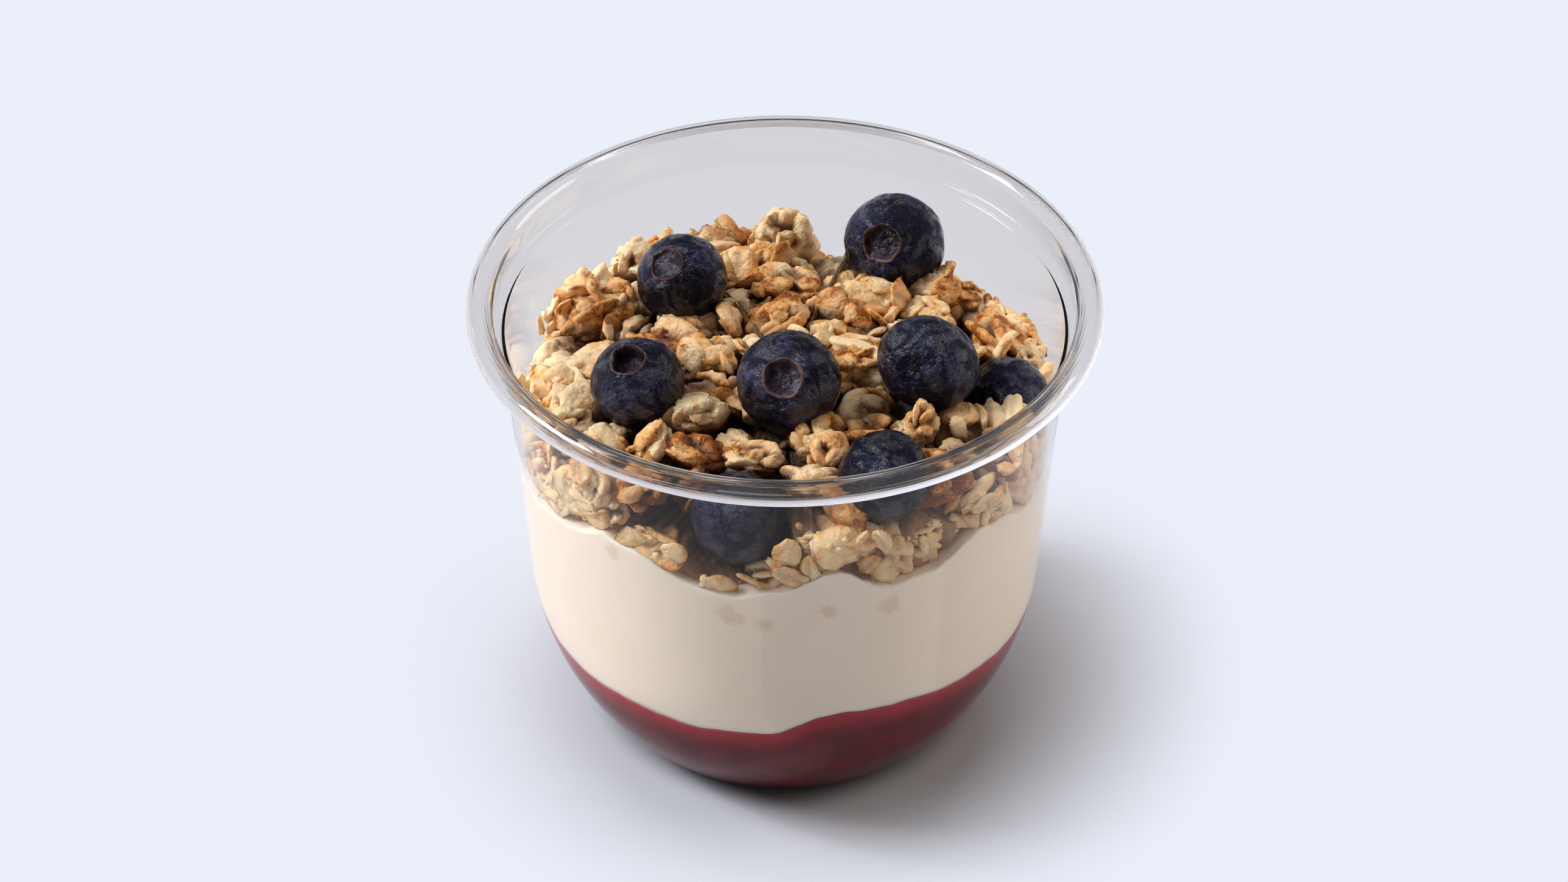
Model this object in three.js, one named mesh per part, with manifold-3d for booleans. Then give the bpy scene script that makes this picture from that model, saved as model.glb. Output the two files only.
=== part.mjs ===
// A yogurt parfait in a clear plastic cup: a layer of stewed berries, a layer of yogurt,
// a heap of granola clusters and eight whole blueberries. Millimetres, +Z up.
// The origin is the centre of the cup's foot; the front of the cup faces -Y.
import * as THREE from 'three';
import { mergeVertices } from 'three/addons/utils/BufferGeometryUtils.js';
import Module from 'manifold-3d';

const wasm = await Module();
wasm.setup();

const { cos, sin, sqrt, atan2, hypot, exp, floor, max, PI } = Math;
const { smoothstep, lerp } = THREE.MathUtils;
const DEGREE = PI / 180;

// ---- driving dimensions -------------------------------------------------------------

// Cup: a thin moulded wall, round below and straight above, with a rolled lip.
const SIDES = 40;                // facets round the cup and its layers
const SHEET = 0.7;               // thickness of the plastic
const FOOT_RADIUS = 27.5;        // where the round lower wall meets the table
const PUNT_RADIUS = 21.5;        // the raised middle of the base
const PUNT_RISE = 1.5;
const BELLY = { radius: 40.8, height: 29 };        // where round turns into straight
const SHOULDER = { radius: 43.8, height: 72.5 };   // the stacking step under the lip
const CUP_HEIGHT = 79;
const CUP_RADIUS = 49;           // outside of the rolled lip
const LIP_ROLL = 2.1;            // radius of the roll
const LIP_END = -30 * DEGREE;    // where the roll stops, on its outer side

// Clearances.
const TOUCH_GAP = 0.3;           // between two pieces that touch

// Layer heights: azimuths in degrees from the front, positive to the right.
const LAYER_RINGS = [0.45, 0.78];                  // rings of points across each layer
const FRUIT_LEVEL = 22.4;
const FRUIT_STEP = { from: -6, to: 9, fadeFrom: 10, fadeTo: 95, rise: 4.7 };
const FRUIT_SIDES = { from: 60, to: 80, fadeFrom: 110, fadeTo: 165, rise: 2.8 };
const FRUIT_MIDDLE = 24;
const YOGURT_LEVEL = 52.6;
const YOGURT_MIDDLE = 54.5;
const YOGURT_SWELLS = [
  { azimuth: -37, rise: 4.6, width: 14 },
  { azimuth: 9, rise: 4.5, width: 8.5 },
  { azimuth: 46, rise: 3.8, width: 10 },
];

// Heap of granola.
const HEAP = { level: 62.6, crown: 3.2, tilt: -0.09, twist: -0.0025, radius: 42 };
const CORE_DEPTH = 3.4;          // how far the core lies under the heap's outer surface
const LUMP_SINK = 2.1;           // the same for the middle of a small lump
const CLUSTER_SINK = 1.2;        // and of a large cluster
const CORE_INSET = 2.2;          // and inside the cup's wall
const LUMPS = { count: 88, width: [6.6, 9.2], margin: 4.6 };
const WALL_LUMPS = { rows: [0.3, 0.82], count: 14, width: [7.0, 9.0], depth: 6, reach: 3.3 };

// Blueberries: centre, radius, how flat, and the way the crown faces.
const BERRIES = [
  { at: [-16.3, 17.8, 68.0], radius: 7.2, flat: 0.90, crown: [-0.37, -0.46, 0.80], long: 1.0 },
  { at: [17.6, 29.6, 66.2], radius: 8.2, flat: 0.90, crown: [-0.32, -0.76, 0.57], long: 1.0 },
  { at: [-22.6, -9.6, 68.4], radius: 7.3, flat: 0.88, crown: [-0.21, -0.27, 0.94], long: 1.0 },
  { at: [0.6, -12.6, 70.8], radius: 8.0, flat: 0.92, crown: [-0.13, -0.73, 0.67], long: 1.0 },
  { at: [21.9, -8.3, 71.2], radius: 7.1, flat: 0.92, crown: [0.26, 0.90, -0.35], long: 1.14 },
  { at: [34.3, -6.6, 62.6], radius: 6.8, flat: 0.92, crown: [0.41, 0.69, -0.59], long: 1.0 },
  { at: [14.6, -31.8, 68.0], radius: 7.0, flat: 0.92, crown: [0.50, 0.40, -0.77], long: 1.0 },
  { at: [-7.0, -33.6, 61.5], radius: 7.3, flat: 0.94, crown: [0.10, 0.85, 0.52], long: 1.0 },
];
const BERRY_SIDES = 15;          // three to each of the crown's five points

// Clusters that stand out in the heap: place in plan, width, turn in degrees, stretch, rise.
const LARGE_CLUSTERS = [
  [-29.5, 15.0, 9.5, 20, 1.1, 0.6],
  [-24.5, 30.5, 6.0, 60, 1.2, 2.2],
  [-11.5, 38.0, 5.0, 10, 1.2, 3.4],
  [0.0, 38.0, 9.0, 5, 1.0, 6.0],
  [-4.3, 29.5, 7.0, 40, 1.1, 2.0],
  [1.0, 22.5, 8.5, -20, 1.2, 1.6],
  [-0.6, 12.0, 8.0, 30, 1.1, 1.2],
  [-11.5, 1.5, 7.0, -35, 1.3, 0.8],
  [-13.5, -14.0, 7.5, 25, 1.1, 1.0],
  [-19.5, -20.0, 5.0, 80, 1.3, 0.8],
  [-4.5, -24.5, 6.5, 10, 1.2, 0.4],
  [6.3, -24.0, 6.5, 75, 1.2, 1.0],
  [12.0, 18.5, 8.5, 5, 1.5, 1.2],
  [24.0, 24.0, 8.0, -25, 1.2, 3.6],
  [33.5, 9.0, 8.5, -60, 1.3, 2.4],
  [20.6, -17.6, 6.0, 70, 1.2, 2.2],
];

const PLASTIC = { color: 0xe8ecee, roughness: 0.08, metalness: 0, transparent: true, opacity: 0.3 };
const FRUIT = { color: 0x6b1f2e, roughness: 0.35, metalness: 0 };
const YOGURT = { color: 0xf1ebe2, roughness: 0.4, metalness: 0 };
const GRANOLA = { color: 0xc99a5c, roughness: 0.6, metalness: 0 };
const BERRY_SKIN = { color: 0x23253a, roughness: 0.5, metalness: 0 };

// ---- helpers ------------------------------------------------------------------------

// A repeatable number from 0 to 1 for piece `index` and purpose `channel`.
function scatter(index, channel) {
  const wave = sin(index * 127.1 + channel * 311.7) * 43758.5453;
  return wave - floor(wave);
}

function azimuthOf(x, y) {
  return atan2(x, -y) / DEGREE;
}

// The cup's wall, moved inwards by `inset`: a circular arc up to the belly, then a cone.
const wallLean = atan2(SHOULDER.radius - BELLY.radius, SHOULDER.height - BELLY.height);
const bellyRun = BELLY.radius - FOOT_RADIUS;
const arcRadius = (bellyRun ** 2 + BELLY.height ** 2)
  / (2 * (bellyRun * cos(wallLean) - BELLY.height * sin(wallLean)));
const arcCentre = {
  radius: BELLY.radius - arcRadius * cos(wallLean),
  height: BELLY.height + arcRadius * sin(wallLean),
};

function wallRadius(height, inset = 0) {
  const bend = arcCentre.height - (arcRadius - inset) * sin(wallLean);
  if (height > bend) {
    return BELLY.radius + (height - BELLY.height) * Math.tan(wallLean) - inset / cos(wallLean);
  }
  return arcCentre.radius + sqrt((arcRadius - inset) ** 2 - (arcCentre.height - height) ** 2);
}

function solidOf(geometry) {
  const bare = geometry.clone();
  bare.deleteAttribute('normal');
  bare.deleteAttribute('uv');
  const merged = mergeVertices(bare, 1e-4);
  const triangles = [];
  const index = merged.index.array;
  for (let i = 0; i < index.length; i += 3) {
    const [a, b, c] = [index[i], index[i + 1], index[i + 2]];
    if (a !== b && b !== c && c !== a) triangles.push(a, b, c);
  }
  return new wasm.Manifold(new wasm.Mesh({
    numProp: 3,
    vertProperties: new Float32Array(merged.attributes.position.array),
    triVerts: new Uint32Array(triangles),
  }));
}

function geometryOf(solid) {
  const mesh = solid.getMesh();
  const geometry = new THREE.BufferGeometry();
  geometry.setAttribute('position', new THREE.BufferAttribute(mesh.vertProperties, 3));
  geometry.setIndex(new THREE.BufferAttribute(mesh.triVerts, 1));
  return geometry;
}

function largestPiece(solid) {
  const pieces = solid.decompose();
  return pieces.reduce((best, piece) => (piece.volume() > best.volume() ? piece : best));
}

// Rings of points, from the middle of the underside outwards, up and back to the top's middle.
// Each four-sided face is split the same way in plan, so that two layers match where they meet.
function ringedBody(underPole, rings, topPole) {
  const count = rings[0].length;
  const points = [underPole, ...rings.flat(), topPole];
  const last = points.length - 1;
  const faces = [];
  for (let j = 0; j < count; j += 1) {
    const next = (j + 1) % count;
    faces.push(0, 1 + next, 1 + j);
    for (let i = 0; i + 1 < rings.length; i += 1) {
      const low = 1 + i * count;
      const high = low + count;
      const [near, far] = [rings[i][j], rings[i + 1][j]].map(([x, y]) => hypot(x, y));
      if (far > near) {
        faces.push(low + j, low + next, high + j, low + next, high + next, high + j);
      } else {
        faces.push(low + j, low + next, high + next, low + j, high + next, high + j);
      }
    }
    const rim = 1 + (rings.length - 1) * count;
    faces.push(rim + j, rim + next, last);
  }
  const geometry = new THREE.BufferGeometry();
  geometry.setAttribute('position', new THREE.Float32BufferAttribute(points.flat(), 3));
  geometry.setIndex(faces);
  return geometry;
}

// A layer that fills the cup: `under` and `top` are heights over the plan, the side follows
// the wall at `inset`, in steps up to the top's edge.
function layer({ under, top, inset, fractions, underFractions = fractions, sideSteps }) {
  const ring = (radiusAt, heightAt) => Array.from({ length: SIDES }, (_, j) => {
    const turn = (j / SIDES) * 2 * PI;
    const radius = radiusAt(turn);
    const [x, y] = [radius * cos(turn), radius * sin(turn)];
    return [x, y, heightAt(x, y, turn)];
  });
  const edgeHeight = (turn, heights) => {
    let height = heights(0, 0);
    for (let pass = 0; pass < 4; pass += 1) {
      const radius = wallRadius(height, inset);
      height = heights(radius * cos(turn), radius * sin(turn));
    }
    return height;
  };
  const sideHeight = (turn, t) => lerp(edgeHeight(turn, under), edgeHeight(turn, top), t);
  const sideRadius = (turn, t) => wallRadius(sideHeight(turn, t), inset);
  const underRings = underFractions.map((f) => ring((turn) => f * sideRadius(turn, 0), under));
  const sideRings = Array.from({ length: sideSteps + 1 }, (_, step) => {
    const t = step / sideSteps;
    return ring((turn) => sideRadius(turn, t), (x, y, turn) => sideHeight(turn, t));
  });
  const topRings = fractions.map((f) => ring((turn) => f * sideRadius(turn, 1), top)).reverse();
  return ringedBody([0, 0, under(0, 0)], [...underRings, ...sideRings, ...topRings], [0, 0, top(0, 0)]);
}

// ---- cup ----------------------------------------------------------------------------

function arcPoints(centre, radius, from, to, steps) {
  return Array.from({ length: steps + 1 }, (_, i) => {
    const angle = lerp(from, to, i / steps);
    return [centre[0] + radius * cos(angle), centre[1] + radius * sin(angle)];
  });
}

function wallPoints(inset, lowest, steps) {
  const bend = arcCentre.height - (arcRadius - inset) * sin(wallLean);
  return Array.from({ length: steps + 1 }, (_, i) => {
    const height = lerp(lowest, bend, (i / steps) ** 1.5);
    return [wallRadius(height, inset), height];
  });
}

function cupGeometry() {
  const roll = [CUP_RADIUS - LIP_ROLL, CUP_HEIGHT - LIP_ROLL];
  const neckInside = roll[0] - LIP_ROLL;
  const neckOutside = neckInside + SHEET;
  const outside = [
    [0, PUNT_RISE], [PUNT_RADIUS, PUNT_RISE], [PUNT_RADIUS + PUNT_RISE, 0],
    ...wallPoints(0, 0, 5),
    [SHOULDER.radius, SHOULDER.height], [neckOutside, SHOULDER.height + SHEET],
    ...arcPoints(roll, LIP_ROLL - SHEET, PI, LIP_END, 5),
  ];
  const inside = [
    [0, PUNT_RISE + SHEET], [PUNT_RADIUS + SHEET / 2, PUNT_RISE + SHEET],
    [PUNT_RADIUS + PUNT_RISE + SHEET / 2, SHEET],
    ...wallPoints(SHEET, SHEET, 5),
    [wallRadius(SHOULDER.height, SHEET), SHOULDER.height + SHEET / 2],
    [neckInside, SHOULDER.height + 1.5 * SHEET],
    ...arcPoints(roll, LIP_ROLL, PI, LIP_END, 7),
  ];
  const profile = [...outside, ...inside.reverse()].map(([r, z]) => new THREE.Vector2(r, z));
  return geometryOf(solidOf(new THREE.LatheGeometry(profile, SIDES).rotateX(PI / 2)));
}

// ---- layers -------------------------------------------------------------------------

function floorHeight(x, y) {
  const slope = PUNT_RADIUS + PUNT_RISE + SHEET / 2 - hypot(x, y);
  return SHEET + max(0, Math.min(PUNT_RISE, slope));
}

function swellOf(azimuth, { from, to, fadeFrom, fadeTo, rise }) {
  return rise * smoothstep(azimuth, from, to) * (1 - smoothstep(azimuth, fadeFrom, fadeTo));
}

function fruitTop(x, y) {
  const azimuth = azimuthOf(x, y);
  const edge = FRUIT_LEVEL + swellOf(azimuth, FRUIT_STEP) + swellOf(Math.abs(azimuth), FRUIT_SIDES);
  return lerp(FRUIT_MIDDLE, edge, (hypot(x, y) / BELLY.radius) ** 2);
}

function yogurtTop(x, y) {
  const azimuth = azimuthOf(x, y);
  const edge = YOGURT_SWELLS.reduce(
    (height, swell) => height + swell.rise * exp(-(((azimuth - swell.azimuth) / swell.width) ** 2)),
    YOGURT_LEVEL,
  );
  return lerp(YOGURT_MIDDLE, edge, (hypot(x, y) / HEAP.radius) ** 3);
}

function fruitGeometry() {
  const inset = SHEET + TOUCH_GAP;
  const floorEdge = wallRadius(inset, inset);
  return layer({
    under: (x, y) => floorHeight(x, y) + TOUCH_GAP,
    top: fruitTop,
    inset,
    fractions: LAYER_RINGS,
    underFractions: [PUNT_RADIUS / floorEdge, (PUNT_RADIUS + PUNT_RISE + SHEET) / floorEdge],
    sideSteps: 4,
  });
}

function yogurtGeometry() {
  const whole = solidOf(layer({
    under: (x, y) => fruitTop(x, y) + TOUCH_GAP,
    top: yogurtTop,
    inset: SHEET + TOUCH_GAP,
    fractions: LAYER_RINGS,
    sideSteps: 3,
  }));
  return geometryOf(largestPiece(withoutBerries(whole)));
}

// ---- blueberries --------------------------------------------------------------------

// A round berry, a little flat from stalk to crown, with a five-pointed crown round a dish.
function berryGeometry({ at, radius, flat, crown, long }) {
  const half = radius * flat;
  const sides = [-58, -28, 4, 34].map((angle) => [
    radius * cos(angle * DEGREE), half * sin(angle * DEGREE),
  ]);
  const crownRing = [[0.47, 0.86], [0.36, 0.97], [0.27, 0.80]].map(([r, z]) => [r * radius, z * half]);
  const profile = [[0, -half], ...sides, ...crownRing, [0, 0.66 * half]];
  const geometry = new THREE.LatheGeometry(
    profile.map(([r, z]) => new THREE.Vector2(r, z)), BERRY_SIDES,
  );
  geometry.scale(long, 1, 1);
  const point = new THREE.Vector3();
  const places = geometry.attributes.position;
  for (let i = 0; i < places.count; i += 1) {
    point.fromBufferAttribute(places, i);
    if (point.y > 0.9 * half) {
      const lobe = cos(5 * atan2(point.z, point.x / long));
      places.setXYZ(i, point.x * (1 + 0.1 * lobe), point.y + 0.03 * radius * lobe, point.z * (1 + 0.1 * lobe));
    }
  }
  const facing = new THREE.Vector3(...crown).normalize();
  geometry.applyQuaternion(new THREE.Quaternion().setFromUnitVectors(new THREE.Vector3(0, 1, 0), facing));
  geometry.translate(...at);
  return geometryOf(solidOf(geometry));
}

// A berry's place, left free by what it is pressed into.
const ICOSPHERE_INSIDE = 0.934;  // how far the flats of a 80-sided ball lie inside its points
const berryPlaces = BERRIES.map(({ at, radius, long }) => {
  const reach = (radius * long + TOUCH_GAP / 2) / ICOSPHERE_INSIDE;
  return solidOf(new THREE.IcosahedronGeometry(reach, 1).translate(...at));
});

function withoutBerries(solid) {
  return berryPlaces.reduce((rest, place) => rest.subtract(place), solid);
}

// ---- granola ------------------------------------------------------------------------

function heapTop(x, y) {
  const { level, crown, tilt, twist, radius } = HEAP;
  return level + tilt * y + twist * x * y + crown * (1 - (x * x + y * y) / radius ** 2);
}

function heapCore() {
  return solidOf(layer({
    under: () => YOGURT_LEVEL - 1,
    top: (x, y) => heapTop(x, y) - CORE_DEPTH,
    inset: SHEET + CORE_INSET,
    fractions: LAYER_RINGS,
    sideSteps: 1,
  }));
}

// The room that granola may take: above the yogurt, inside the wall and clear of the berries.
function heapRoom() {
  const room = layer({
    under: (x, y) => yogurtTop(x, y) + TOUCH_GAP,
    top: () => SHOULDER.height - 1,
    inset: SHEET + TOUCH_GAP,
    fractions: LAYER_RINGS,
    sideSteps: 2,
  });
  return withoutBerries(solidOf(room));
}

// One baked chunk: a rough lump of twenty faces.
function chunk({ index, at, size, turn }) {
  const geometry = new THREE.IcosahedronGeometry(0.5, 0);
  geometry.rotateZ(scatter(index, 20) * 2 * PI);
  geometry.scale(...size);
  geometry.rotateX((scatter(index, 21) - 0.5) * 60 * DEGREE);
  geometry.rotateZ(turn);
  geometry.translate(...at);
  return solidOf(geometry);
}

// A large cluster is two chunks baked together.
function largeCluster([x, y, width, degrees, stretch, rise], index) {
  const turn = degrees * DEGREE;
  const side = turn + PI * (0.35 + 0.5 * scatter(index, 22));
  const step = 0.38 * width;
  const z = heapTop(x, y) - CLUSTER_SINK;
  const main = chunk({
    index, turn, at: [x, y, z + 0.35 * rise], size: [width * stretch, width * 0.8, width * 0.62 + rise],
  });
  const second = chunk({
    index: index + 400, turn: side, at: [x + step * cos(side), y + step * sin(side), z - 0.08 * width],
    size: [width * 0.8, width * 0.66, width * 0.55],
  });
  return main.add(second);
}

function isOnBerry(x, y, spare) {
  return BERRIES.some(({ at, radius }) => hypot(at[0] - x, at[1] - y) < radius * 0.75 + spare);
}

function isOnLargeCluster(x, y, width) {
  return LARGE_CLUSTERS.some(([cx, cy, other]) => hypot(cx - x, cy - y) < 0.33 * (other + width));
}

// Smaller lumps lie in a sunflower pattern, which spreads them evenly over the heap.
function topLumps() {
  const goldenTurn = PI * (3 - sqrt(5));
  const lumps = Array.from({ length: LUMPS.count }, (_, i) => {
    const radius = (HEAP.radius - LUMPS.margin) * sqrt((i + 0.5) / LUMPS.count);
    const [x, y] = [radius * cos(i * goldenTurn), radius * sin(i * goldenTurn)];
    const width = lerp(...LUMPS.width, scatter(i, 1));
    return {
      index: i, width, turn: 2 * PI * scatter(i, 3),
      at: [x, y, heapTop(x, y) - LUMP_SINK + 0.9 * scatter(i, 2)],
      size: [width * lerp(1, 1.35, scatter(i, 4)), width * 0.85, width * 0.66],
    };
  });
  return lumps.filter(({ at: [x, y], width }) => !isOnBerry(x, y, 0) && !isOnLargeCluster(x, y, width));
}

// Rows of lumps show through the wall.
function wallLumps() {
  const { rows, count, width, depth, reach } = WALL_LUMPS;
  return rows.flatMap((share, row) => Array.from({ length: count }, (_, i) => {
    const index = 200 + row * count + i;
    const turn = ((i + 0.5 * row + 0.4 * scatter(index, 5)) / count) * 2 * PI;
    const [x, y] = [HEAP.radius * cos(turn), HEAP.radius * sin(turn)];
    const z = lerp(yogurtTop(x, y), heapTop(x, y), share);
    const radius = wallRadius(z, SHEET + TOUCH_GAP) - reach;
    const length = lerp(...width, scatter(index, 6));
    return {
      index, at: [radius * cos(turn), radius * sin(turn), z],
      size: [length, depth, 0.72 * length], turn: turn + PI / 2,
    };
  }));
}

function granolaGeometry() {
  const clusters = LARGE_CLUSTERS.map(largeCluster);
  const lumps = [...topLumps(), ...wallLumps()].map(chunk);
  const heap = wasm.Manifold.union([heapCore(), ...clusters, ...lumps]);
  return geometryOf(largestPiece(heap.intersect(heapRoom())));
}

// ---- assembly -----------------------------------------------------------------------

const parfait = new THREE.Group();

function addPiece(name, geometry, look) {
  const piece = new THREE.Mesh(geometry, new THREE.MeshStandardMaterial(look));
  piece.name = name;
  parfait.add(piece);
}

addPiece('cup', cupGeometry(), PLASTIC);
addPiece('fruit_layer', fruitGeometry(), FRUIT);
addPiece('yogurt_layer', yogurtGeometry(), YOGURT);
addPiece('granola_heap', granolaGeometry(), GRANOLA);
BERRIES.forEach((berry, i) => addPiece(`blueberry_${i + 1}`, berryGeometry(berry), BERRY_SKIN));

export default parfait;
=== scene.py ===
"""A yogurt parfait in its clear plastic cup, with granola and whole blueberries on top.

Sizes are in millimetres until a mesh is made. The axes are the frame's: +Z up, the front of
the cup towards -Y. Azimuths are in degrees from the front, positive to the right.
"""
from math import atan2, ceil, cos, degrees, exp, floor, hypot, pi, radians, sin, sqrt, tan

import bpy
from mathutils import Matrix, Quaternion, Vector, noise


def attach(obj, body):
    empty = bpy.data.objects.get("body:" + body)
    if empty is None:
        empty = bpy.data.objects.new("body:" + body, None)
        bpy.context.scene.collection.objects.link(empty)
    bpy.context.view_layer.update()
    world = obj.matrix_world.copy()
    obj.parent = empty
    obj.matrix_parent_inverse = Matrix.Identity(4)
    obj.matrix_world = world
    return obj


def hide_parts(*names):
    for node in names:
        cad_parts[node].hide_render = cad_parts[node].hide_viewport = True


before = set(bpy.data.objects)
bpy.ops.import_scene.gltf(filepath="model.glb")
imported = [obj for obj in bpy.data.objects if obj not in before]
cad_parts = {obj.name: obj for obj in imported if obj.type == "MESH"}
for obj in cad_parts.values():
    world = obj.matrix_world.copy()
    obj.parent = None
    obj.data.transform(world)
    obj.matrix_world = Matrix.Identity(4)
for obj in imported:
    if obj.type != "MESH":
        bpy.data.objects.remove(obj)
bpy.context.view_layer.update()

# ---- Cup ----------------------------------------------------------------------------
# One sheet of clear plastic, thermoformed: a raised base, a round lower wall, a straight
# upper wall that leans out, a stacking shoulder and a lip rolled outwards.
# The whole cup is its profile carried round the axis.

MM = 0.001
SHEET = 0.7
FOOT_RADIUS = 27.5
PUNT_RADIUS = 21.5
PUNT_RISE = 1.5
BELLY_RADIUS, BELLY_HEIGHT = 40.8, 29.0
SHOULDER_RADIUS, SHOULDER_HEIGHT = 43.8, 72.5
CUP_HEIGHT = 79.0
CUP_RADIUS = 49.0
LIP_ROLL = 2.1
LIP_END = radians(-30)
FROSTED_TURN = radians(32)      # how far the frosted edge reaches up the roll
WALL_INDEX, LIP_INDEX = 1.18, 1.38      # below the real 1.5, which greys the food behind the sheet
CORNER_ROUND = 0.45
CUP_SEGMENTS = 224

wall_lean = atan2(SHOULDER_RADIUS - BELLY_RADIUS, SHOULDER_HEIGHT - BELLY_HEIGHT)
belly_run = BELLY_RADIUS - FOOT_RADIUS
arc_radius = (belly_run ** 2 + BELLY_HEIGHT ** 2) / (
    2 * (belly_run * cos(wall_lean) - BELLY_HEIGHT * sin(wall_lean)))
arc_centre_radius = BELLY_RADIUS - arc_radius * cos(wall_lean)
arc_centre_height = BELLY_HEIGHT + arc_radius * sin(wall_lean)


def lerp(start, end, share):
    return start + (end - start) * share


def bend_height(inset):
    """Where the round lower wall turns into the straight upper wall."""
    return arc_centre_height - (arc_radius - inset) * sin(wall_lean)


def wall_radius(height, inset=0.0):
    """The cup's outer wall, moved inwards by inset."""
    if height > bend_height(inset):
        return BELLY_RADIUS + (height - BELLY_HEIGHT) * tan(wall_lean) - inset / cos(wall_lean)
    return arc_centre_radius + sqrt((arc_radius - inset) ** 2 - (arc_centre_height - height) ** 2)


def wall_points(inset, lowest, steps=26):
    heights = [lerp(lowest, bend_height(inset), (i / steps) ** 1.5) for i in range(steps + 1)]
    return [(wall_radius(height, inset), height) for height in heights]


def roll_points(radius, steps=14):
    centre_radius, centre_height = CUP_RADIUS - LIP_ROLL, CUP_HEIGHT - LIP_ROLL
    turns = [lerp(pi, LIP_END, i / steps) for i in range(steps + 1)]
    return [(centre_radius + radius * cos(a), centre_height + radius * sin(a)) for a in turns]


def cup_profile():
    """Radius and height, from the middle of the underside round the lip to the inside's middle."""
    neck_inside = CUP_RADIUS - 2 * LIP_ROLL
    outside = [
        (0, PUNT_RISE), (PUNT_RADIUS, PUNT_RISE), (PUNT_RADIUS + PUNT_RISE, 0),
        *wall_points(0, 0),
        (SHOULDER_RADIUS, SHOULDER_HEIGHT), (neck_inside + SHEET, SHOULDER_HEIGHT + SHEET),
        *roll_points(LIP_ROLL - SHEET),
    ]
    inside = [
        (0, PUNT_RISE + SHEET), (PUNT_RADIUS + SHEET / 2, PUNT_RISE + SHEET),
        (PUNT_RADIUS + PUNT_RISE + SHEET / 2, SHEET),
        *wall_points(SHEET, SHEET),
        (wall_radius(SHOULDER_HEIGHT, SHEET), SHOULDER_HEIGHT + SHEET / 2),
        (neck_inside, SHOULDER_HEIGHT + 1.5 * SHEET),
        *roll_points(LIP_ROLL),
    ]
    return outside + inside[::-1]


def add(tree, kind, inputs=None, **settings):
    """Adds a node with its settings; each input, by name or number, is a link or a value."""
    node = tree.nodes.new(kind)
    for name, value in settings.items():
        setattr(node, name, value)
    for name, value in (inputs or {}).items():
        if isinstance(value, bpy.types.NodeSocket):
            tree.links.new(value, node.inputs[name])
        else:
            node.inputs[name].default_value = value
    return node


def new_geometry_tree(name, sockets):
    """A Geometry Nodes tree with the named inputs; returns it and its input node."""
    tree = bpy.data.node_groups.new(name, "GeometryNodeTree")
    tree.interface.new_socket(name="Geometry", in_out="OUTPUT", socket_type="NodeSocketGeometry")
    for label, kind in {"Geometry": "Geometry", **sockets}.items():
        tree.interface.new_socket(name=label, in_out="INPUT", socket_type="NodeSocket" + kind)
    return tree, add(tree, "NodeGroupInput")


def end_geometry_tree(tree, geometry, finish):
    """The last nodes of every tree: smooth faces, real geometry and the piece's material."""
    smooth = add(tree, "GeometryNodeSetShadeSmooth", {"Geometry": geometry})
    real = add(tree, "GeometryNodeRealizeInstances", {"Geometry": smooth.outputs[0]})
    coated = add(tree, "GeometryNodeSetMaterial", {"Geometry": real.outputs[0], "Material": finish})
    add(tree, "NodeGroupOutput", {"Geometry": coated.outputs[0]})


def grown(name, seed, tree, values):
    """Runs a tree on the seed geometry and keeps the result as a plain mesh object."""
    start = bpy.data.objects.new(name + ".seed", seed)
    bpy.context.scene.collection.objects.link(start)
    modifier = start.modifiers.new("grow", "NODES")
    modifier.node_group = tree
    for socket in tree.interface.items_tree:
        if socket.in_out == "INPUT" and socket.name in values:
            modifier[socket.identifier] = values[socket.name]
    evaluated = start.evaluated_get(bpy.context.evaluated_depsgraph_get())
    piece = bpy.data.objects.new(name, bpy.data.meshes.new_from_object(evaluated))
    bpy.data.objects.remove(start)
    bpy.context.scene.collection.objects.link(piece)
    return piece


def linear(code):
    """An sRGB hex colour as linear RGBA."""
    parts = [int(code[i:i + 2], 16) / 255 for i in (1, 3, 5)]
    return [p / 12.92 if p <= 0.04045 else ((p + 0.055) / 1.055) ** 2.4 for p in parts] + [1.0]


def new_material(name):
    """An empty material; returns it, its node tree and the output node."""
    material = bpy.data.materials.new(name)
    material.use_nodes = True
    material.node_tree.nodes.clear()
    return material, material.node_tree, add(material.node_tree, "ShaderNodeOutputMaterial")


def clear_plastic(name, roughness, index, waviness):
    """Thermoformed clear plastic, faintly wavy in the wall: sharp highlights on the lip, grey
    edges along the sheet. Lamps shine straight through it."""
    material, tree, output = new_material(name)
    place = add(tree, "ShaderNodeTexCoord").outputs["Object"]
    ripple = add(tree, "ShaderNodeTexNoise", {"Vector": place, "Scale": 1 / (9 * MM), "Detail": 1.0})
    relief = add(tree, "ShaderNodeBump", {
        "Height": ripple.outputs[0], "Strength": waviness, "Distance": 0.25 * MM})
    plastic = add(tree, "ShaderNodeBsdfPrincipled", {
        "Base Color": linear("#e9e5e1"), "Roughness": roughness, "IOR": index,
        "Transmission Weight": 1.0, "Normal": relief.outputs[0]})
    through = add(tree, "ShaderNodeBsdfTransparent", {"Color": linear("#f4f4f6")})
    ray = add(tree, "ShaderNodeLightPath")
    mixed = add(tree, "ShaderNodeMixShader", {
        0: ray.outputs["Is Shadow Ray"], 1: plastic.outputs[0], 2: through.outputs[0]})
    tree.links.new(mixed.outputs[0], output.inputs["Surface"])
    return material


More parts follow.
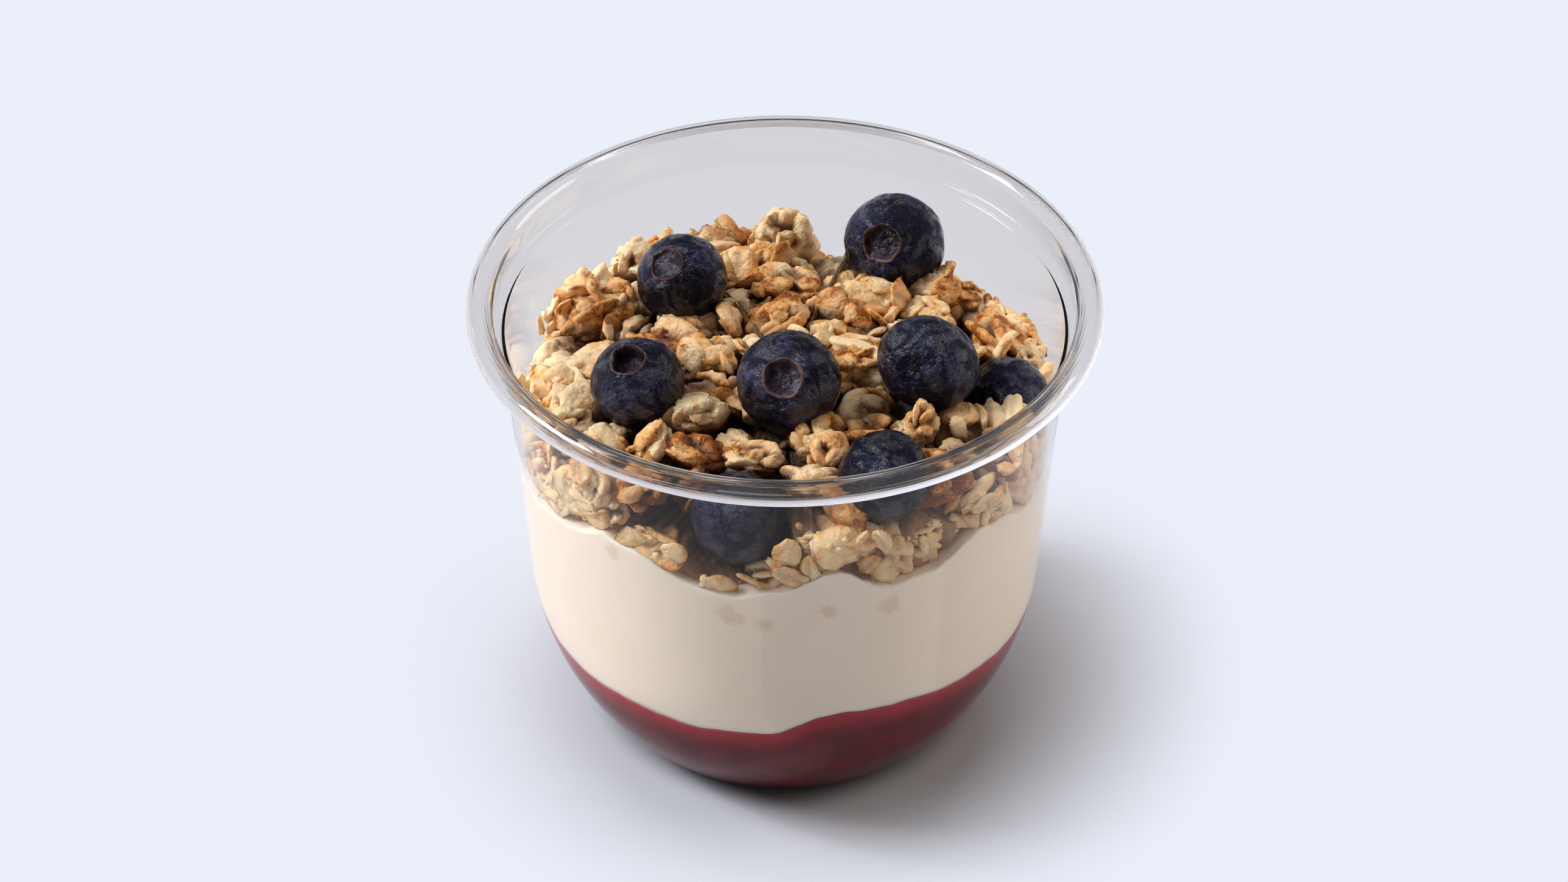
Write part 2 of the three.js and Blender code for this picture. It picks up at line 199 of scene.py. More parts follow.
def frosted_edge():
    """The lip's lower edge, rough from being cut and rolled: it scatters the light that comes
    from behind the cup and shows as a crisp white line."""
    material, tree, output = new_material("frosted_edge_of_the_lip")
    rough = add(tree, "ShaderNodeBsdfPrincipled", {
        "Base Color": linear("#f4f4f6"), "Roughness": 0.25, "IOR": 1.50, "Transmission Weight": 0.5})
    scattered = add(tree, "ShaderNodeBsdfTranslucent", {"Color": linear("#f6f6fa")})
    mixed = add(tree, "ShaderNodeMixShader", {0: 0.6, 1: rough.outputs[0], 2: scattered.outputs[0]})
    tree.links.new(mixed.outputs[0], output.inputs["Surface"])
    return material


def revolve_tree():
    """Rounds the profile's corners and carries it round the axis."""
    tree, given = new_geometry_tree("revolved_profile", {
        "Profile radius": "Float", "Corner radius": "Float", "Segments": "Int", "Finish": "Material"})
    size = given.outputs
    rounded = add(tree, "GeometryNodeFilletCurve", {
        "Curve": size["Geometry"], "Radius": size["Corner radius"], "Limit Radius": True, "Count": 3},
        mode="POLY")
    circle = add(tree, "GeometryNodeCurvePrimitiveCircle", {
        "Resolution": size["Segments"], "Radius": size["Profile radius"]})
    turned = add(tree, "GeometryNodeCurveToMesh", {
        "Curve": circle.outputs[0], "Profile Curve": rounded.outputs[0]})
    closed = add(tree, "GeometryNodeMergeByDistance", {"Geometry": turned.outputs[0], "Distance": 1e-6})
    outward = add(tree, "GeometryNodeFlipFaces", {"Mesh": closed.outputs[0]})
    end_geometry_tree(tree, outward.outputs[0], size["Finish"])
    return tree


def profile_curve(name, points):
    """The profile as a curve, its radius measured from CUP_RADIUS and its height downwards,
    which is how Curve to Mesh lays it on a circle of CUP_RADIUS."""
    curve = bpy.data.curves.new(name, "CURVE")
    curve.dimensions = "3D"
    line = curve.splines.new("POLY")
    line.points.add(len(points) - 1)
    for point, (radius, height) in zip(line.points, points):
        point.co = ((radius - CUP_RADIUS) * MM, -height * MM, 0, 1)
    return curve


cup = grown("clear_cup", profile_curve("cup_profile", cup_profile()), revolve_tree(), {
    "Profile radius": CUP_RADIUS * MM, "Corner radius": CORNER_ROUND * MM,
    "Segments": CUP_SEGMENTS,
    "Finish": clear_plastic("clear_thermoformed_plastic", 0.03, WALL_INDEX, 0.06)})
cup.data.materials.append(clear_plastic("clear_plastic_of_the_lip", 0.0, LIP_INDEX, 0.0))
cup.data.materials.append(frosted_edge())
for face in cup.data.polygons:
    x, y, z = face.center / MM
    turn = atan2(z - (CUP_HEIGHT - LIP_ROLL), hypot(x, y) - (CUP_RADIUS - LIP_ROLL))
    is_lip, is_frosted = z > SHOULDER_HEIGHT, abs(turn - LIP_END) < FROSTED_TURN
    face.material_index = 2 if is_lip and is_frosted else int(is_lip)
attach(cup, "root")
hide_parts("cup")

# ---- Stewed berries ------------------------------------------------------------------
# Berries cooked down to a thick dark sauce, spooned in first. It fills the base of the cup
# and stands higher on the right of the front, where the yogurt pushed it aside.

REACH_INTO_WALL = 0.15
LAYER_SEGMENTS = 288
FRUIT_LEVEL = 22.4
FRUIT_MIDDLE = 24.0
FRUIT_RISE = 4.7
FRUIT_SIDE_RISE = 2.8
FRUIT_STEP = ((-6, 9), (10, 95))        # azimuths over which it rises, then falls again
FRUIT_SIDES = ((60, 80), (110, 165))
HEAP_RADIUS = 42.0


def smoothstep(low, high, value):
    share = min(max((value - low) / (high - low), 0), 1)
    return share * share * (3 - 2 * share)


def azimuth_of(x, y):
    return degrees(atan2(x, -y))


def ripple(x, y, spacing, depth, seed):
    """A smooth random unevenness over the plan, spacing millimetres from crest to crest."""
    return depth * noise.noise(Vector((x / spacing, y / spacing, seed)))


def rise_and_fall(rising, falling, value):
    """From 0 to 1 over the range rising and back to 0 over the range falling."""
    return smoothstep(*rising, value) * (1 - smoothstep(*falling, value))


def floor_height(x, y):
    slope = PUNT_RADIUS + PUNT_RISE + SHEET / 2 - hypot(x, y)
    return SHEET + max(0, min(PUNT_RISE, slope)) - REACH_INTO_WALL


def fruit_top(x, y):
    azimuth = azimuth_of(x, y)
    step = rise_and_fall(*FRUIT_STEP, azimuth)
    side = rise_and_fall(*FRUIT_SIDES, abs(azimuth))
    share = (hypot(x, y) / BELLY_RADIUS) ** 2
    edge = FRUIT_LEVEL + FRUIT_RISE * step + FRUIT_SIDE_RISE * side
    return lerp(FRUIT_MIDDLE, edge, share) + ripple(x, y, 9, 0.7, 3) + ripple(x, y, 2.6, 0.25, 4)


def new_piece(name, points, faces, material, numbers=None):
    """A smooth mesh object from points in millimetres, with a number at each point by name."""
    mesh = bpy.data.meshes.new(name)
    mesh.from_pydata([[c * MM for c in point] for point in points], [], faces)
    for label, values in (numbers or {}).items():
        mesh.attributes.new(label, "FLOAT", "POINT").data.foreach_set("value", values)
    mesh.shade_smooth()
    mesh.materials.append(material)
    piece = bpy.data.objects.new(name, mesh)
    bpy.context.scene.collection.objects.link(piece)
    return piece


def edge_height(turn, heights, inset):
    """Where a layer's surface meets the wall."""
    height = heights(0, 0)
    for _ in range(4):
        radius = wall_radius(height, inset)
        height = heights(radius * cos(turn), radius * sin(turn))
    return height


def layer(name, under, top, material, under_fractions, top_fractions, side_steps, inset):
    """A layer that fills the cup out to the wall. Each point knows its depth below the top's
    edge and its height above the underside's edge."""
    turns = [2 * pi * j / LAYER_SEGMENTS for j in range(LAYER_SEGMENTS)]
    low = [edge_height(turn, under, inset) for turn in turns]
    high = [edge_height(turn, top, inset) for turn in turns]
    points, below, above = [(0, 0, under(0, 0))], [50.0], [0.0]

    def ring(radius_at, height_at):
        for j, turn in enumerate(turns):
            radius = radius_at(j)
            x, y = radius * cos(turn), radius * sin(turn)
            height = height_at(j, x, y)
            points.append((x, y, height))
            below.append(high[j] - height)
            above.append(height - low[j])

    for f in under_fractions:
        ring(lambda j: f * wall_radius(low[j], inset), lambda j, x, y: under(x, y))
    for step in range(side_steps + 1):
        level = [lerp(low[j], high[j], step / side_steps) for j in range(LAYER_SEGMENTS)]
        ring(lambda j: wall_radius(level[j], inset), lambda j, x, y: level[j])
    for f in reversed(top_fractions):
        ring(lambda j: f * wall_radius(high[j], inset), lambda j, x, y: top(x, y))
    points.append((0, 0, top(0, 0)))
    below.append(0.0)
    above.append(50.0)

    faces = []
    rings = len(under_fractions) + side_steps + 1 + len(top_fractions)
    for j in range(LAYER_SEGMENTS):
        k = (j + 1) % LAYER_SEGMENTS
        faces.append((0, 1 + k, 1 + j))
        for i in range(rings - 1):
            a, b = 1 + i * LAYER_SEGMENTS, 1 + (i + 1) * LAYER_SEGMENTS
            faces.append((a + j, a + k, b + k, b + j))
        rim = 1 + (rings - 1) * LAYER_SEGMENTS
        faces.append((rim + j, rim + k, len(points) - 1))
    return new_piece(name, points, faces, material, {"below_edge": below, "above_edge": above})


def berry_sauce():
    """Cooked berry sauce: a wet, nearly black red with pulp in it, brighter and pinker in the
    last millimetres under the yogurt, where the two have run together."""
    material, tree, output = new_material("stewed_berry_sauce")
    place = add(tree, "ShaderNodeTexCoord").outputs["Object"]
    pulp = add(tree, "ShaderNodeTexNoise", {
        "Vector": place, "Scale": 1 / (5 * MM), "Detail": 5.0, "Roughness": 0.62})
    body = add(tree, "ShaderNodeValToRGB", {"Fac": pulp.outputs[0]})
    body.color_ramp.elements[0].position = 0.30
    body.color_ramp.elements[0].color = linear("#4e080c")
    body.color_ramp.elements[1].position = 0.75
    body.color_ramp.elements[1].color = linear("#78141b")
    depth = add(tree, "ShaderNodeAttribute", attribute_name="below_edge")
    wander = add(tree, "ShaderNodeMath", {0: pulp.outputs[0], 1: 5.0, 2: -2.2}, operation="MULTIPLY_ADD")
    mixed_depth = add(tree, "ShaderNodeMath", {0: depth.outputs["Fac"], 1: wander.outputs[0]})
    seam = add(tree, "ShaderNodeMapRange", {
        "Value": mixed_depth.outputs[0], "From Min": 0.0, "From Max": 6.0, "To Min": 1.0, "To Max": 0.0},
        interpolation_type="SMOOTHSTEP")
    stained = add(tree, "ShaderNodeMix", {
        0: seam.outputs[0], 6: body.outputs[0], 7: linear("#a8303a")}, data_type="RGBA")
    line = add(tree, "ShaderNodeMapRange", {
        "Value": depth.outputs["Fac"], "From Min": 0.0, "From Max": 0.7, "To Min": 0.55, "To Max": 0.0})
    blurred = add(tree, "ShaderNodeMix", {
        0: line.outputs[0], 6: stained.outputs[2], 7: linear("#b06a68")}, data_type="RGBA")
    relief = add(tree, "ShaderNodeBump", {"Height": pulp.outputs[0], "Strength": 0.1, "Distance": 0.4 * MM})
    sauce = add(tree, "ShaderNodeBsdfPrincipled", {
        "Base Color": blurred.outputs[2], "Roughness": 0.5, "Specular IOR Level": 0.1,
        "Subsurface Weight": 0.35, "Subsurface Radius": (1.0, 0.25, 0.2),
        "Subsurface Scale": 1.2 * MM, "Normal": relief.outputs[0]})
    tree.links.new(sauce.outputs[0], output.inputs["Surface"])
    return material


wall_inset = SHEET - REACH_INTO_WALL
floor_edge = wall_radius(SHEET, wall_inset)
fruit = layer(
    "stewed_berries", floor_height, fruit_top, berry_sauce(),
    [0.5, PUNT_RADIUS / floor_edge, (PUNT_RADIUS + PUNT_RISE + SHEET / 2) / floor_edge],
    [0.45, 0.78, 0.95], 40, wall_inset)
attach(fruit, "root")
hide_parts("fruit_layer")

# ---- Yogurt --------------------------------------------------------------------------
# Thick strained yogurt over the sauce. Its edge at the wall runs up and down where the
# spoon pressed it, and a few oats have sunk in and show as faint tan marks.

YOGURT_LEVEL = 52.6
YOGURT_MIDDLE = 54.5
YOGURT_SWELLS = [(-37, 4.6, 14), (9, 4.5, 8.5), (46, 3.8, 10)]     # azimuth, rise, width
SUNK_OATS = [(-11.5, 48.6, 2.2), (-3.5, 47.2, 1.6), (9, 49.5, 1.8), (22, 48.4, 2.0), (-38, 54.5, 1.8)]


def yogurt_top(x, y):
    azimuth = azimuth_of(x, y)
    edge = YOGURT_LEVEL + sum(
        rise * exp(-(((azimuth - at) / width) ** 2)) for at, rise, width in YOGURT_SWELLS)
    share = (hypot(x, y) / HEAP_RADIUS) ** 3
    return lerp(YOGURT_MIDDLE, edge, share) + ripple(x, y, 6, 1.1, 7) + ripple(x, y, 1.9, 0.5, 8)


def strained_yogurt():
    """Full-fat yogurt: warm off-white, light goes a few millimetres in, so shadows stay soft;
    a satin surface with the spoon's faint smears and tan marks of sunken oats."""
    material, tree, output = new_material("strained_yogurt")
    place = add(tree, "ShaderNodeTexCoord").outputs["Object"]
    smear = add(tree, "ShaderNodeTexNoise", {"Vector": place, "Scale": 1 / (14 * MM), "Detail": 3.0})
    body = add(tree, "ShaderNodeMix", {
        0: smear.outputs[0], 6: linear("#ebdcc6"), 7: linear("#f3e6d6")}, data_type="RGBA")
    stain = body.outputs[2]
    rim_noise = add(tree, "ShaderNodeTexNoise", {
        "Vector": place, "Scale": 1 / (2.2 * MM), "Detail": 3.0, "Roughness": 0.6})
    for azimuth, height, width in SUNK_OATS:
        radius = wall_radius(height, SHEET)
        x, y = radius * sin(radians(azimuth)), -radius * cos(radians(azimuth))
        away = add(tree, "ShaderNodeVectorMath", {
            0: place, 1: (x * MM, y * MM, height * MM)}, operation="DISTANCE")
        ragged = add(tree, "ShaderNodeMath", {
            0: rim_noise.outputs[0], 1: -2.4 * width * MM, 2: away.outputs["Value"]},
            operation="MULTIPLY_ADD")
        mark = add(tree, "ShaderNodeMapRange", {
            "Value": ragged.outputs[0], "From Min": -0.9 * width * MM, "From Max": 0.0,
            "To Min": 0.3, "To Max": 0.0}, interpolation_type="SMOOTHSTEP")
        stain = add(tree, "ShaderNodeMix", {
            0: mark.outputs[0], 6: stain, 7: linear("#c89a63")}, data_type="RGBA").outputs[2]
    relief = add(tree, "ShaderNodeBump", {
        "Height": rim_noise.outputs[0], "Strength": 0.06, "Distance": 0.3 * MM})
    yogurt_body = add(tree, "ShaderNodeBsdfPrincipled", {
        "Base Color": stain, "Roughness": 0.45, "Specular IOR Level": 0.15,
        "Subsurface Weight": 0.6, "Subsurface Radius": (1.0, 0.72, 0.5),
        "Subsurface Scale": 2.2 * MM, "Normal": relief.outputs[0]})
    tree.links.new(yogurt_body.outputs[0], output.inputs["Surface"])
    return material


yogurt = layer(
    "yogurt", fruit_top, yogurt_top, strained_yogurt(), [0.45, 0.78, 0.95],
    [0.3, 0.5, 0.66, 0.78, 0.87, 0.93, 0.97], 40, wall_inset)
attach(yogurt, "root")
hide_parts("yogurt_layer")

# ---- Blueberries ---------------------------------------------------------------------
# Eight whole blueberries, thawed from frozen: dark skins with a patchy waxy bloom, a little
# wrinkled. Each has the ring of its crown at one end, a low ragged rim round a dish.

BERRIES = [
    {"at": (-16.3, 17.8, 68.0), "radius": 7.2, "flat": 0.90, "crown": (-0.37, -0.46, 0.80)},
    {"at": (17.6, 29.6, 66.2), "radius": 8.2, "flat": 0.90, "crown": (-0.32, -0.76, 0.57)},
    {"at": (-22.6, -9.6, 68.4), "radius": 7.3, "flat": 0.88, "crown": (-0.21, -0.27, 0.94), "dish": 0.60},
    {"at": (0.6, -12.6, 70.8), "radius": 8.0, "flat": 0.92, "crown": (-0.13, -0.73, 0.67)},
    {"at": (21.9, -8.3, 71.2), "radius": 7.1, "flat": 0.92, "crown": (0.26, 0.90, -0.35), "long": 1.14,
     "dent": ((-0.26, -0.90, 0.35), 0.42, 0.10)},
    {"at": (34.3, -6.6, 62.6), "radius": 6.8, "flat": 0.92, "crown": (0.41, 0.69, -0.59),
     "scar": ((-0.41, -0.69, 0.59), 0.19)},
    {"at": (14.6, -31.8, 68.0), "radius": 7.0, "flat": 0.92, "crown": (0.50, 0.40, -0.77), "wrinkle": 0.055},
    {"at": (-7.0, -33.6, 61.5), "radius": 7.3, "flat": 0.94, "crown": (0.10, 0.85, 0.52), "wrinkle": 0.008},
]
BERRY_SEGMENTS = 120
BERRY_WRINKLE = 0.032
CROWN_LOBES = 5


def berry_profile(radius, flat, dish):
    """Radius, height and part (0 skin, 1 crown's rim, 2 dish) from the base to the dish."""
    half = radius * flat
    skin = [(radius * cos(a), half * sin(a), 0.0)
            for a in (lerp(-pi / 2, radians(64), i / 52) for i in range(1, 53))]
    rim = [(0.412, 0.908, 0.0), (0.398, 0.926, 0.5), (0.388, 0.946, 1.0), (0.376, 0.960, 1.0),
           (0.363, 0.960, 1.0), (0.352, 0.946, 1.0), (0.343, 0.926, 1.3), (0.332, 0.900, 1.6)]
    bowl = [(0.310, lerp(0.90, dish, 0.4), 2.0), (0.275, lerp(0.90, dish, 0.8), 2.0),
            (0.21, dish - 0.01, 2.0), (0.14, dish, 2.0), (0.07, dish + 0.01, 2.0)]
    return skin + [(r * radius, z * half, part) for r, z, part in rim + bowl]


def bumped(point, centre, radius, number, settings):
    """A point of the skin, moved by the wrinkles, dent and scar of its berry."""
    way = (point - centre).normalized()
    size = settings.get("wrinkle", BERRY_WRINKLE)
    spot = way * 1.6 + Vector((number * 7.1, 0, 0))
    push = size * (noise.noise(spot) + 0.5 * noise.noise(spot * 2.3))
    crease = abs(noise.noise(way * 3.4 + Vector((0, number * 5.3, 0))))
    push -= 0.45 * size * exp(-(crease / 0.09) ** 2)
    push += 0.009 * noise.noise(way * 7 + Vector((0, 0, number))) + 0.003 * noise.noise(way * 13)
    if "dent" in settings:
        facing, width, depth = settings["dent"]
        away = (way - Vector(facing).normalized()).length
        pucker = 1 + 0.5 * noise.noise(way * 6)
        push -= depth * pucker * exp(-(away / width) ** 2)
    if "scar" in settings:
        facing, width = settings["scar"]
        away = (way - Vector(facing).normalized()).length
        push += 0.05 * exp(-((away - width) / 0.05) ** 2) - 0.10 * exp(-(away / (0.7 * width)) ** 2)
    return point + way * radius * push


def blueberry(number, at, radius, flat, crown, long=1.0, dish=0.855, **settings):
    profile = berry_profile(radius, flat, dish)
    turned = Vector((0, 0, 1)).rotation_difference(Vector(crown).normalized())
    centre = Vector(at)
    tips = [Vector((0, 0, -radius * flat))]
    parts = [0.0]
    for r, z, part in profile:
        lift = smoothstep(0.90 * radius * flat, 0.96 * radius * flat, z) if part > 0 else 0.0
        for j in range(BERRY_SEGMENTS):
            turn = 2 * pi * j / BERRY_SEGMENTS
            around = Vector((cos(turn), sin(turn), 0))
            torn = noise.noise(around * 2.2 + Vector((0, 0, number * 3.7)))
            lobe = 0.35 * cos(CROWN_LOBES * turn) + 1.1 * torn
            near = r * (1 + 0.07 * lobe * (part > 0))
            high = z + 0.03 * radius * lobe * lift
            tips.append(Vector((near * around.x * long, near * around.y, high)))
            parts.append(part)
    tips.append(Vector((0, 0, dish * radius * flat)))
    parts.append(2.0)
    points = [bumped(centre + turned @ tip, centre, radius, number, settings) for tip in tips]
    faces = []
    rings = len(profile)
    for j in range(BERRY_SEGMENTS):
        k = (j + 1) % BERRY_SEGMENTS
        faces.append((0, 1 + k, 1 + j))
        for i in range(rings - 1):
            a, b = 1 + i * BERRY_SEGMENTS, 1 + (i + 1) * BERRY_SEGMENTS
            faces.append((a + j, a + k, b + k, b + j))
        rim = 1 + (rings - 1) * BERRY_SEGMENTS
        faces.append((rim + j, rim + k, len(points) - 1))
    name = f"whole_blueberry_{number}"
    piece = new_piece(name, points, faces, blueberry_skin, {"part": parts})
    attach(piece, "root")
    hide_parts(f"blueberry_{number}")


def waxy_skin():
    """Blueberry skin: nearly black violet, under a wax bloom that shows as dusty blue-grey specks
    in patches. Thaw water lies on parts of it and glints; the crown's rim is dry and brown-pink."""
    material, tree, output = new_material("waxy_blueberry_skin")
    place = add(tree, "ShaderNodeTexCoord").outputs["Object"]
    patch = add(tree, "ShaderNodeTexNoise", {
        "Vector": place, "Scale": 1 / (7 * MM), "Detail": 6.0, "Roughness": 0.65, "Distortion": 0.4})
    grain = add(tree, "ShaderNodeTexNoise", {
        "Vector": place, "Scale": 1 / (0.6 * MM), "Detail": 3.0, "Roughness": 0.65})
    bloom = add(tree, "ShaderNodeMapRange", {
        "Value": patch.outputs[0], "From Min": 0.46, "From Max": 0.70})
    specks = add(tree, "ShaderNodeMapRange", {
        "Value": grain.outputs[0], "From Min": 0.40, "From Max": 0.66})
    dust = add(tree, "ShaderNodeMath", {0: bloom.outputs[0], 1: specks.outputs[0]}, operation="MULTIPLY")
    skin = add(tree, "ShaderNodeMix", {
        0: dust.outputs[0], 6: linear("#06030b"), 7: linear("#4c4d74")}, data_type="RGBA")
    part = add(tree, "ShaderNodeAttribute", attribute_name="part")
    dry = add(tree, "ShaderNodeMapRange", {
        "Value": patch.outputs[0], "From Min": 0.40, "From Max": 0.62, "To Min": 0.1, "To Max": 0.9})
    rim = add(tree, "ShaderNodeMapRange", {
        "Value": part.outputs["Fac"], "From Min": 0.3, "From Max": 0.9, "To Max": dry.outputs[0]})
    crown = add(tree, "ShaderNodeMix", {
        0: rim.outputs[0], 6: skin.outputs[2], 7: linear("#86615a")}, data_type="RGBA")
    inner = add(tree, "ShaderNodeMapRange", {
        "Value": part.outputs["Fac"], "From Min": 1.2, "From Max": 1.9, "To Max": 0.9})
    hollow = add(tree, "ShaderNodeMix", {
        0: dry.outputs[0], 6: linear("#080408"), 7: linear("#34222a")}, data_type="RGBA")
    dish = add(tree, "ShaderNodeMix", {
        0: inner.outputs[0], 6: crown.outputs[2], 7: hollow.outputs[2]}, data_type="RGBA")
    gloss = add(tree, "ShaderNodeMapRange", {
        "Value": dust.outputs[0], "From Max": 0.5, "To Min": 0.32, "To Max": 0.50})
    relief = add(tree, "ShaderNodeBump", {
        "Height": grain.outputs[0], "Strength": 1.0, "Distance": 0.35 * MM})
    folds = add(tree, "ShaderNodeBump", {
        "Height": patch.outputs[0], "Strength": 0.9, "Distance": 1.4 * MM, "Normal": relief.outputs[0]})
    film = add(tree, "ShaderNodeTexNoise", {
        "Vector": place, "Scale": 1 / (3.5 * MM), "Detail": 2.0, "Distortion": 1.2})
    wet = add(tree, "ShaderNodeMapRange", {
        "Value": film.outputs[0], "From Min": 0.46, "From Max": 0.54, "To Max": 0.9})
    surface = add(tree, "ShaderNodeBsdfPrincipled", {
        "Base Color": dish.outputs[2], "Roughness": gloss.outputs[0], "Normal": folds.outputs[0],
        "Specular IOR Level": 0.30, "Specular Tint": linear("#b4b6e8"),
        "Coat Weight": wet.outputs[0], "Coat Roughness": 0.08})
    tree.links.new(folds.outputs[0], surface.inputs["Coat Normal"])
    tree.links.new(surface.outputs[0], output.inputs["Surface"])
    return material


blueberry_skin = waxy_skin()
for berry_number, berry in enumerate(BERRIES, 1):
    blueberry(berry_number, **berry)

# ---- Granola: the heap and its clusters ----------------------------------------------
# Rolled oats baked with syrup and broken into clusters, heaped on the yogurt up to the
# shoulder of the cup. A crumbly core and the clusters' lumps carry the oats that show.

HEAP_LEVEL, HEAP_CROWN, HEAP_TILT, HEAP_TWIST = 62.6, 3.2, -0.09, -0.0025
CORE_DEPTH, LUMP_SINK, CLUSTER_SINK = 3.4, 2.1, 1.2      # under the heap's outer surface
CORE_INSET, CORE_PITS, CORE_DROP = 1.5, 3.0, 0.3
FIRST_AT_WALL, FIRST_FILLER, FIRST_SECOND_LUMP = 200, 300, 400      # how lumps are numbered
PAINTED_SHADE_FROM, PAINTED_SHADE_TO = -0.9, 1.7     # depths under the heap's outer surface over which the painted shade goes from none to darkest
LUMP_COUNT, LUMP_WIDTH, LUMP_MARGIN = 88, (6.6, 9.2), 4.6
WALL_ROWS, WALL_COUNT, WALL_WIDTH, WALL_DEPTH, WALL_REACH = (0.3, 0.82), 14, (7.0, 9.0), 6.0, 3.3
WALL_FILLERS = (0.04, 0.34, 0.56, 0.8, 0.98)        # more rows, set between the two
LARGE_CLUSTERS = [      # x, y, width, turn, stretch, rise
    (-29.5, 15.0, 9.5, 20, 1.1, 0.6), (-24.5, 30.5, 6.0, 60, 1.2, 2.2), (-11.5, 38.0, 5.0, 10, 1.2, 3.4),
    (0.0, 38.0, 9.0, 5, 1.0, 6.0), (-4.3, 29.5, 7.0, 40, 1.1, 2.0), (1.0, 22.5, 8.5, -20, 1.2, 1.6),
    (-0.6, 12.0, 8.0, 30, 1.1, 1.2), (-11.5, 1.5, 7.0, -35, 1.3, 0.8), (-13.5, -14.0, 7.5, 25, 1.1, 1.0),
    (-19.5, -20.0, 5.0, 80, 1.3, 0.8), (-4.5, -24.5, 6.5, 10, 1.2, 0.4), (6.3, -24.0, 6.5, 75, 1.2, 1.0),
    (12.0, 18.5, 8.5, 5, 1.5, 1.2), (24.0, 24.0, 8.0, -25, 1.2, 3.6), (33.5, 9.0, 8.5, -60, 1.3, 2.4),
    (20.6, -17.6, 6.0, 70, 1.2, 2.2),
]
GOLDEN_TURN = pi * (3 - sqrt(5))


def scatter(index, channel):
    """A repeatable number from 0 to 1 for piece index and purpose channel."""
    wave = sin(index * 127.1 + channel * 311.7) * 43758.5453
    return wave - floor(wave)


def heap_top(x, y):
    crown = HEAP_CROWN * (1 - (x * x + y * y) / HEAP_RADIUS ** 2)
    return HEAP_LEVEL + HEAP_TILT * y + HEAP_TWIST * x * y + crown


def on_berry(x, y):
    return any(hypot(b["at"][0] - x, b["at"][1] - y) < 0.75 * b["radius"] for b in BERRIES)


def on_large_cluster(x, y, width):
    return any(hypot(c[0] - x, c[1] - y) < 0.33 * (c[2] + width) for c in LARGE_CLUSTERS)


def large_lumps():
    """A large cluster is two lumps baked together."""
    lumps = []
    for index, (x, y, width, turn, stretch, rise) in enumerate(LARGE_CLUSTERS):
        z = heap_top(x, y) - CLUSTER_SINK
        side = radians(turn) + pi * (0.35 + 0.5 * scatter(index, 22))
        step = 0.38 * width
        lumps.append((index, (x, y, z + 0.35 * rise), radians(turn),
                      (width * stretch, width * 0.8, width * 0.62 + rise)))
        second_at = (x + step * cos(side), y + step * sin(side), z - 0.08 * width)
        lumps.append((index + FIRST_SECOND_LUMP, second_at, side,
                      (width * 0.8, width * 0.66, width * 0.55)))
    return lumps


def top_lumps():
    """Smaller lumps lie in a sunflower pattern over the heap."""
    lumps = []
    for i in range(LUMP_COUNT):
        radius = (HEAP_RADIUS - LUMP_MARGIN) * sqrt((i + 0.5) / LUMP_COUNT)
        x, y = radius * cos(i * GOLDEN_TURN), radius * sin(i * GOLDEN_TURN)
        width = lerp(*LUMP_WIDTH, scatter(i, 1))
        if not on_berry(x, y) and not on_large_cluster(x, y, width):
            z = heap_top(x, y) - LUMP_SINK + 0.9 * scatter(i, 2)
            lumps.append((i, (x, y, z), 2 * pi * scatter(i, 3),
                          (width * lerp(1, 1.35, scatter(i, 4)), width * 0.85, width * 0.66)))
    return lumps


def wall_lumps(rows, first):
    """Rows of lumps show through the wall."""
    lumps = []
    for row, share in enumerate(rows):
        for i in range(WALL_COUNT):
            index = first + row * WALL_COUNT + i
            turn = (i + 0.5 * row + 0.4 * scatter(index, 5)) / WALL_COUNT * 2 * pi
            x, y = HEAP_RADIUS * cos(turn), HEAP_RADIUS * sin(turn)
            z = lerp(yogurt_top(x, y), heap_top(x, y), share)
            radius = wall_radius(z, 1.0) - WALL_REACH
            length = lerp(*WALL_WIDTH, scatter(index, 6))
            lumps.append((index, (radius * cos(turn), radius * sin(turn), z), turn + pi / 2,
                          (length, WALL_DEPTH, 0.72 * length)))
    return lumps


def is_at_wall(index):
    return FIRST_AT_WALL <= index < FIRST_SECOND_LUMP


